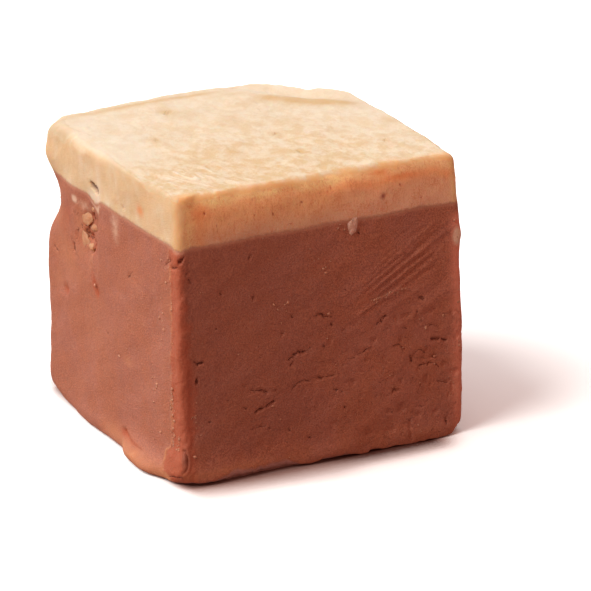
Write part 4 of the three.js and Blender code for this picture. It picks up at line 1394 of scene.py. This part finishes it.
# How much pale nougat there is near the join, from 0 to 1: a soft, ragged step over the join.
# Smeared is the share of the smears, broken up into streaks.
def makeJoinGroup():
    usual = {"Above Join": 0.0, "Smear": 0.0}
    group, given, result = newGroup("joinBlend", usual, ["Pale Share", "Smeared"])
    place, smear = given["Position"], given["Smear"]
    ragged = waver(group, place, groupValues["joinRagged"], groupValues["joinRaggedness"])
    step = mapRange(group, plus(group, given["Above Join"], ragged), *groupValues["joinStep"])
    streaks = waver(group, place, groupValues["smearStreaks"], groupValues["smearStreakiness"])
    smeared = mapRange(group, plus(group, smear, streaks), *groupValues["smearRange"])
    smeared = times(group, smeared, mapRange(group, smear, *groupValues["smearFade"]))
    fillInputs(group, result, {"Pale Share": step, "Smeared": smeared})
    return group


# Cracks from the values painted on the mesh, made ragged again by finer noise and broken into beads:
# painted shade inside them, dark where the distance across is less than the half width. Dark is a
# share, and Height is in mm.
def makeCrackGroup():
    usual = {"Across": 0.5, "Half Width": 0.0}
    group, given, result = newGroup("cracks", usual, ["Dark", "Height"])
    place, halfWidth = given["Position"], given["Half Width"]
    fine = waver(group, place, groupValues["crackFine"], groupValues["crackFineShift"])
    wide = waver(group, place, groupValues["crackWide"], groupValues["crackWideShift"])
    beads = mapRange(group, noiseAt(group, place, *groupValues["beads"]), *groupValues["beadRange"])
    distance = mathNode(group, "ABSOLUTE", plus(group, given["Across"], plus(group, fine, wide)))
    inside = minus(group, times(group, halfWidth, beads), distance)
    dark = mapRange(group, inside, *groupValues["crackEdge"])
    dark = times(group, dark, mapRange(group, halfWidth, *groupValues["crackFade"]))
    fillInputs(group, result, {"Dark": dark, "Height": times(group, dark, groupValues["crackHeight"])})
    return group


grainGroup, fleckGroup = makeGrainGroup(), makeFleckGroup()
joinGroup, crackGroup = makeJoinGroup(), makeCrackGroup()


# Object coordinates in millimetres.
def millimetres(tree):
    place = addNode(tree, "ShaderNodeTexCoord").outputs["Object"]
    return addNode(tree, "ShaderNodeVectorMath", {0: place, "Scale": 1000.0}, operation="SCALE").outputs[0]


# The cracks that carve has left on the mesh.
def crackMarks(tree, place):
    painted = {"Across": readMask(tree, "crackAcross"), "Half Width": readMask(tree, "crackWidth")}
    return useGroup(tree, crackGroup, place, painted)


# Paste lets some light in: the share, how far each colour goes, the reach in mm, then the gloss.
def newMaterial(name, share, colourReach, reach, specular):
    material = bpy.data.materials.new(name)
    material.use_nodes = True
    tree = material.node_tree
    shader = fillInputs(tree, tree.nodes["Principled BSDF"], {
        "Subsurface Weight": share, "Subsurface Radius": colourReach, "Subsurface Scale": reach * mm,
        "Specular IOR Level": specular,
    })
    return material, tree, shader


# Colour, roughness and the bump of a height in mm.
def finishShader(tree, shader, tint, rough, height):
    normal = addNode(tree, "ShaderNodeBump", {"Height": height, "Distance": mm}).outputs["Normal"]
    fillInputs(tree, shader, {"Base Color": tint, "Roughness": rough, "Normal": normal})


# Lays the colours of a table over a tint, one after the other: mask times strength is the share of
# each new colour. What the look has made itself is taken from there, the rest from the dictionary
# of the look or from the masks painted on the mesh.
def layOver(tree, tint, look, table, made):
    for name, mask, strength in look[table]:
        over = made[name] if name in made else look[name]
        mask = made[mask] if mask in made else readMask(tree, mask)
        tint = mixColour(tree, times(tree, mask, strength), tint, over)
    return tint


# Tables hold colour, mask and strength. Noise is its scale per mm, detail and roughness.
chocolateLook = {
    "deep": (0.266, 0.087, 0.050),
    "light": (0.572, 0.223, 0.139),
    "mauve": (0.420, 0.165, 0.115),
    "amber": (0.440, 0.150, 0.070),
    # painted shade for the left of the front and beside the nodule
    "paintedShade": (0.300, 0.110, 0.072),
    # warm near edge: partly its own skin colour, partly painted glow
    "warmEdge": (0.455, 0.110, 0.050),
    "edgeLight": (0.850, 0.320, 0.210),
    # tan paste, also laid as painted light on the lip of the front
    "tan": (0.600, 0.250, 0.115),
    "red": (0.420, 0.085, 0.030),
    "fleck": (0.620, 0.300, 0.190),
    "speck": (0.200, 0.055, 0.032),
    "smear": (0.770, 0.540, 0.390),
    # painted shade inside the cracks
    "crack": (0.110, 0.026, 0.015),
    # painted light reflected from the floor onto the underside of the lip
    "underLip": (0.560, 0.330, 0.300),
    "layers": [
        ("paintedShade", "paintedShade", 1.0), ("warmEdge", "edgeWarmthAndGlow", 0.9), ("edgeLight", "edgeLight", 0.9),
        ("tan", "tanAndLitLip", 0.8), ("red", "redPatch", 0.8), ("fleck", "flecks", 0.5),
        ("speck", "specks", 0.45), ("speck", "blots", 0.30), ("smear", "smeared", 0.9),
    ],
    "overJoin": [("crack", "cracks", 0.65), ("underLip", "underLip", 0.8)],
    "inside": (0.15, (1.0, 0.35, 0.2), 0.4, 0.3),  # as newMaterial takes them
    "grain": {"Mottle": 0.5, "Relief": 0.07},
    "grainStrength": 3.0,
    "flecks": {"Per Millimetre": 1.6, "Size": 0.10, "Share": 0.16},
    "specks": {"Per Millimetre": 0.9, "Size": 0.10, "Share": 0.22},
    "blotNoise": (1.9, 4.0, 0.7),
    "blotRange": (0.54, 0.70),
    "hueNoise": (0.42, 3.0, 0.6),
    "hueRange": (0.36, 0.64),
    "hueShare": 0.35,
    "roughness": (0.45, 0.2),  # least, and added where the grain is light
    "fleckHeight": 0.03,
    "blotDepth": 0.035,
}
paleLook = {
    "plain": (0.698, 0.472, 0.240),
    "light": (0.800, 0.592, 0.342),
    "skin": (0.775, 0.675, 0.490),
    "skinGold": (0.665, 0.465, 0.215),
    "pallor": (0.790, 0.730, 0.580),
    # painted highlight on ripple crests and the lip, also the lighter streaks of the left side
    "crestHighlight": (0.880, 0.810, 0.670),
    # painted glow along the front rim
    "rim": (0.800, 0.450, 0.170),
    # the cut face, painted lighter towards the top: painted glow of light through the layer
    "cutLow": (0.720, 0.430, 0.270),
    "cutHigh": (1.000, 0.590, 0.280),
    # painted glow where light comes through the rim and the right end
    "cutTop": (1.000, 0.750, 0.330),
    "cutGrain": (0.680, 0.200, 0.065),
    # painted shade of the left rim
    "leftRimShade": (0.560, 0.420, 0.240),
    "cutPallor": (1.000, 0.620, 0.420),
    "glow": (0.990, 0.400, 0.120),
    "brown": (0.620, 0.400, 0.150),
    "orange": (0.800, 0.210, 0.040),
    "speck": (0.480, 0.170, 0.060),
    # painted shade inside the cracks, reddish
    "crack": (0.500, 0.065, 0.035),
    # painted shade in the hole
    "hole": (0.170, 0.060, 0.030),
    "redSpot": (0.340, 0.060, 0.045),
    "skinLayers": [("pallor", "pallor", 0.7)],
    "cutLayers": [
        ("cutPallor", "cutPallor", 0.5), ("glow", "rimGlow", 0.65), ("cutTop", "rimGoldGlow", 0.8),
        ("cutGrain", "darkGrain", 0.78), ("cutGrain", "streaks", 0.42),
    ],
    "layers": [
        ("wholeSkin", "topSkin", 0.9), ("crestHighlight", "crestHighlight", 0.7), ("rim", "rimWarmGlow", 0.95),
        ("leftRimShade", "leftRimShade", 0.75), ("wholeCut", "cutFace", 0.9), ("brown", "browning", 0.85),
        ("orange", "orangeTear", 0.7), ("speck", "specks", 0.45),
    ],
    "overJoin": [("redSpot", "redSpot", 1.0), ("hole", "hole", 0.95)],
    "crackStrength": (0.70, 0.0),  # on the sides, on the top
    "inside": (0.35, (1.0, 0.4, 0.2), 0.6, 0.45),
    "grain": {"Mottle": 0.8, "Grain": 1.2, "Relief": 0.055},
    "specks": {"Per Millimetre": 1.0, "Size": 0.12, "Share": 0.25},
    "goldDrawn": (1.0, 0.72, 0.6),  # the noise of the skin is drawn out along y and z
    "goldNoise": (0.95, 7.0, 0.70),
    "goldRange": (0.38, 0.62),
    "streaksDrawn": (1.0, 1.0, 0.3),
    "streakNoise": (4.0, 3.0, 0.7),
    "streakRange": (0.50, 0.72),
    "cutHeight": 2.2,  # the cut face is lightest this far above the join: painted glow of light coming in from the top
    "roughness": (0.45, 0.12),  # and how much less on the glossy shoulder
}
joinTint = (0.530, 0.235, 0.145)  # both pastes turn into this at the join


# The two pastes run into each other: one below, the join tint in the middle, the other above.
def blendAtJoin(tree, below, above, share):
    lower = mixColour(tree, mapRange(tree, share, 0.0, 0.5), below, joinTint)
    return mixColour(tree, mapRange(tree, share, 0.5, 1.0), lower, above)


# Chocolate: grain between a deep and a light tone, slow changes of hue, then the layers.
def makeChocolateMaterial():
    look = chocolateLook
    material, tree, shader = newMaterial("chocolateNougat", *look["inside"])
    place = millimetres(tree)
    grainy = times(tree, readMask(tree, "grainy"), look["grainStrength"])
    grain = useGroup(tree, grainGroup, place, {"Grain": grainy, **look["grain"]})
    cracks = crackMarks(tree, place)
    painted = {"Above Join": readMask(tree, "aboveJoin"), "Smear": readMask(tree, "smear")}
    join = useGroup(tree, joinGroup, place, painted)
    flecks, specks = (useGroup(tree, fleckGroup, place, look[k])["Mask"] for k in ("flecks", "specks"))
    blots = mapRange(tree, noiseAt(tree, place, *look["blotNoise"]), *look["blotRange"])
    blots = times(tree, blots, readMask(tree, "coarse"))
    hue = mapRange(tree, noiseAt(tree, place, *look["hueNoise"]), *look["hueRange"])
    hueTint = mixColour(tree, hue, look["mauve"], look["amber"])
    tint = mixColour(tree, grain["Tone"], look["deep"], look["light"])
    tint = mixColour(tree, look["hueShare"], tint, hueTint)
    made = {
        "flecks": flecks, "specks": specks, "blots": blots,
        "smeared": join["Smeared"], "cracks": cracks["Dark"],
    }
    tint = layOver(tree, tint, look, "layers", made)
    tint = blendAtJoin(tree, tint, paleLook["plain"], join["Pale Share"])
    tint = layOver(tree, tint, look, "overJoin", made)
    least, added = look["roughness"]
    rough = plus(tree, times(tree, grain["Tone"], added), least)
    height = plus(tree, grain["Height"], cracks["Height"])
    height = plus(tree, height, times(tree, flecks, look["fleckHeight"]))
    height = minus(tree, height, times(tree, blots, look["blotDepth"]))
    finishShader(tree, shader, tint, rough, height)
    return material


# Pale nougat: the skin of the top and the cut of the sides are made on their own and laid over the
# plain paste with the other layers.
def makePaleMaterial():
    look = paleLook
    material, tree, shader = newMaterial("paleNougat", *look["inside"])
    place = millimetres(tree)
    aboveJoin, topSkin = readMask(tree, "aboveJoin"), readMask(tree, "topSkin")
    grain = useGroup(tree, grainGroup, place, look["grain"])
    tone = grain["Tone"]
    cracks = crackMarks(tree, place)
    join = useGroup(tree, joinGroup, place, {"Above Join": aboveJoin})
    specks = useGroup(tree, fleckGroup, place, look["specks"])["Mask"]
    drawn = vectorMath(tree, "MULTIPLY", place, look["goldDrawn"])
    gold = mapRange(tree, noiseAt(tree, drawn, *look["goldNoise"]), *look["goldRange"])
    skin = mixColour(tree, gold, look["skin"], look["skinGold"])
    drawn = vectorMath(tree, "MULTIPLY", place, look["streaksDrawn"])
    streaks = mapRange(tree, noiseAt(tree, drawn, *look["streakNoise"]), *look["streakRange"])
    cut = mixColour(tree, mapRange(tree, aboveJoin, 0.0, look["cutHeight"]), look["cutLow"], look["cutHigh"])
    made = {
        "topSkin": topSkin, "streaks": streaks,
        "darkGrain": mapRange(tree, tone, 0.6, 0.0),
        "specks": times(tree, specks, minus(tree, 1.0, topSkin)),
    }
    made["wholeSkin"] = layOver(tree, skin, look, "skinLayers", made)
    made["wholeCut"] = layOver(tree, cut, look, "cutLayers", made)
    tint = layOver(tree, mixColour(tree, tone, look["plain"], look["light"]), look, "layers", made)
    below = mixColour(tree, tone, chocolateLook["deep"], chocolateLook["light"])
    tint = blendAtJoin(tree, below, tint, join["Pale Share"])
    crackStrength = mapRange(tree, topSkin, 0.0, 0.8, *look["crackStrength"])
    tint = mixColour(tree, times(tree, cracks["Dark"], crackStrength), tint, look["crack"])
    tint = layOver(tree, tint, look, "overJoin", made)
    most, less = look["roughness"]
    rough = minus(tree, most, times(tree, readMask(tree, "shoulder"), less))
    finishShader(tree, shader, tint, rough, plus(tree, grain["Height"], cracks["Height"]))
    return material


# Crumbs, nut bits and the pale grain.
lumpLook = {
    "inside": ((1.0, 0.5, 0.3), 0.6, 0.4),  # as newMaterial takes them, after the share
    "grain": {"Grain": 1.2, "Relief": 0.05},
    "toneShares": (0.5, 0.5),  # how much of the tone is grain, and how much is each lump's own
    # name, piece, dark and light tone, mottle, roughness and share of light that goes in
    "kinds": [
        ("nutPaste", nutPiece, (0.44, 0.19, 0.10), (0.62, 0.33, 0.17), 1.0, 0.60, 0.40),
        ("nougatCrumb", crumbPiece, (0.44, 0.18, 0.11), (0.66, 0.33, 0.21), 0.3, 0.60, 0.30),
        ("sugarGrain", paleBitPiece, (0.56, 0.29, 0.20), (0.90, 0.64, 0.51), 1.8, 0.38, 0.30),
    ],
}


# One plain look, its tone changed from lump to lump.
def makeLumpMaterial(name, dark, light, mottle, roughness, inside):
    material, tree, shader = newMaterial(name, inside, *lumpLook["inside"])
    grain = useGroup(tree, grainGroup, millimetres(tree), {"Mottle": mottle, **lumpLook["grain"]})
    ofGrain, ofLump = lumpLook["toneShares"]
    lumpTone = times(tree, readMask(tree, "shade"), ofLump)
    tone = mathNode(tree, "MULTIPLY_ADD", grain["Tone"], ofGrain, lumpTone)
    finishShader(tree, shader, mixColour(tree, tone, dark, light), roughness, grain["Height"])
    return material


chocolateBase.data.materials.append(makeChocolateMaterial())
paleTop.data.materials.append(makePaleMaterial())
for name, piece, *look in lumpLook["kinds"]:
    piece.data.materials.append(makeLumpMaterial(name, *look))
print("materials made")

for piece in (chocolateBase, paleTop, nutPiece, crumbPiece, paleBitPiece):
    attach(piece, "root")
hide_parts("chocolate_base")
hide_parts("pale_layer")


# The floor, the key light and the room. Colours are linear red, green and blue.
studio = {
    "floorSize": 6.0,
    "floorBounce": (0.36, 0.25, 0.22),  # what the floor gives back to the object
    "floorSeen": (1.33, 1.42, 1.45),  # overexposed, so that only deep shadow shows on it
    "contactShadowHalf": (0.430, 0.290, 0.260),  # painted warm shadow where closeness is three quarters
    "contactShadow": (0.260, 0.175, 0.155),  # painted shadow on the floor right below the lip
    "contactShadowRight": (0.105, 0.046, 0.036),  # and painted shadow where the foot lies flat on the floor
    "flatFoot": (-1.0, 4.0),  # the foot goes over to lying flat between these places
    "contactReach": 4.5,
    "flatFootRange": (0.20, 0.80),  # the shadow under the flat foot goes from nothing to full between these
    # from, to, and the share of the contact shadow left and right of that
    "contactEnds": [(-13.6, -11.6, 0.12, 1.0), (9.8, 12.6, 1.0, 0.08)],
    "keyFrom": (-0.66, 0.0, 0.75),
    "keyPower": 2.85,
    "keySpread": 40.0,
    "keyTint": (1.0, 0.97, 0.93),
    "frontLight": (0.44, 0.21, 0.16),  # dim warm light from the viewer's side
    "backLight": (0.95, 0.95, 0.95),  # bright wall behind
    "roomTurn": (-0.15, 0.55),  # the one goes over to the other between these backward directions
}


# The floor, with a painted contact shadow. Closeness is twice the share of the sky that is hidden
# within contactReach. Its first three quarters take the tint from floorSeen to the half shadow tint,
# and the last quarter takes it on to the full shadow tint. Only the camera sees this painted shadow,
# and all other light meets floorBounce.
def makeFloor():
    half = studio["floorSize"] / 2
    corners = np.array([(-half, -half, 0), (half, -half, 0), (half, half, 0), (-half, half, 0)]) / mm
    floor = meshObject("floor", corners, [], [np.array([[0, 1, 2, 3]])])
    material = bpy.data.materials.new("whiteFloor")
    material.use_nodes = True
    tree = material.node_tree
    tree.nodes.clear()
    reach = {"Distance": studio["contactReach"] * mm}
    nearness = addNode(tree, "ShaderNodeAmbientOcclusion", reach, samples=8)
    closeness = mathNode(tree, "MULTIPLY_ADD", nearness.outputs["AO"], -2.0, 2.0, clamp=True)
    across = addNode(tree, "ShaderNodeSeparateXYZ", {0: millimetres(tree)}).outputs["X"]
    flat = mapRange(tree, across, *studio["flatFoot"])
    share = mixColour(tree, flat, closeness, mapRange(tree, closeness, *studio["flatFootRange"]))
    for contactEnd in studio["contactEnds"]:
        share = times(tree, share, mapRange(tree, across, *contactEnd))
    firstPart = mathNode(tree, "MULTIPLY", share, 4 / 3, clamp=True)
    lastQuarter = mathNode(tree, "MULTIPLY_ADD", share, 4.0, -3.0, clamp=True)
    contactShadow = mixColour(tree, flat, studio["contactShadow"], studio["contactShadowRight"])
    seenTint = mixColour(tree, firstPart, studio["floorSeen"], studio["contactShadowHalf"])
    seenTint = mixColour(tree, lastQuarter, seenTint, contactShadow)
    seen = addNode(tree, "ShaderNodeBsdfDiffuse", {"Color": seenTint})
    bounce = addNode(tree, "ShaderNodeBsdfDiffuse", {"Color": studio["floorBounce"]})
    cameraRay = addNode(tree, "ShaderNodeLightPath").outputs["Is Camera Ray"]
    both = addNode(tree, "ShaderNodeMixShader", {0: cameraRay, 1: bounce.outputs[0], 2: seen.outputs[0]})
    addNode(tree, "ShaderNodeOutputMaterial", {"Surface": both.outputs[0]})
    floor.data.materials.append(material)


# A broad sun that shines along its local -Z, so its local Z is turned towards where it comes from.
def makeKeyLight():
    data = bpy.data.lights.new("keyLight", "SUN")
    data.energy = studio["keyPower"]
    data.color = studio["keyTint"]
    data.angle = math.radians(studio["keySpread"])
    sun = bpy.data.objects.new("keyLight", data)
    sun.rotation_mode = "QUATERNION"
    sun.rotation_quaternion = Vector(studio["keyFrom"]).to_track_quat("Z", "Y")
    bpy.context.scene.collection.objects.link(sun)


# The room: white to the camera, and for all other light a dim front that goes over into a bright
# back, along the backward part of the direction.
def makeRoom():
    world = bpy.data.worlds.new("softRoom")
    world.use_nodes = True
    tree = world.node_tree
    tree.nodes.clear()
    direction = addNode(tree, "ShaderNodeTexCoord").outputs["Generated"]
    backwards = addNode(tree, "ShaderNodeSeparateXYZ", {0: direction}).outputs["Y"]
    share = mapRange(tree, backwards, *studio["roomTurn"])
    light = mixColour(tree, share, studio["frontLight"], studio["backLight"])
    lighting = addNode(tree, "ShaderNodeBackground", {"Color": light, "Strength": 1.0})
    white = addNode(tree, "ShaderNodeBackground", {"Color": (1.0, 1.0, 1.0), "Strength": 1.0})
    cameraRay = addNode(tree, "ShaderNodeLightPath").outputs["Is Camera Ray"]
    both = addNode(tree, "ShaderNodeMixShader", {0: cameraRay, 1: lighting.outputs[0], 2: white.outputs[0]})
    addNode(tree, "ShaderNodeOutputWorld", {"Surface": both.outputs[0]})
    bpy.context.scene.world = world


makeFloor()
makeKeyLight()
makeRoom()
bpy.context.scene.view_settings.view_transform = "Standard"
print("floor and light made")
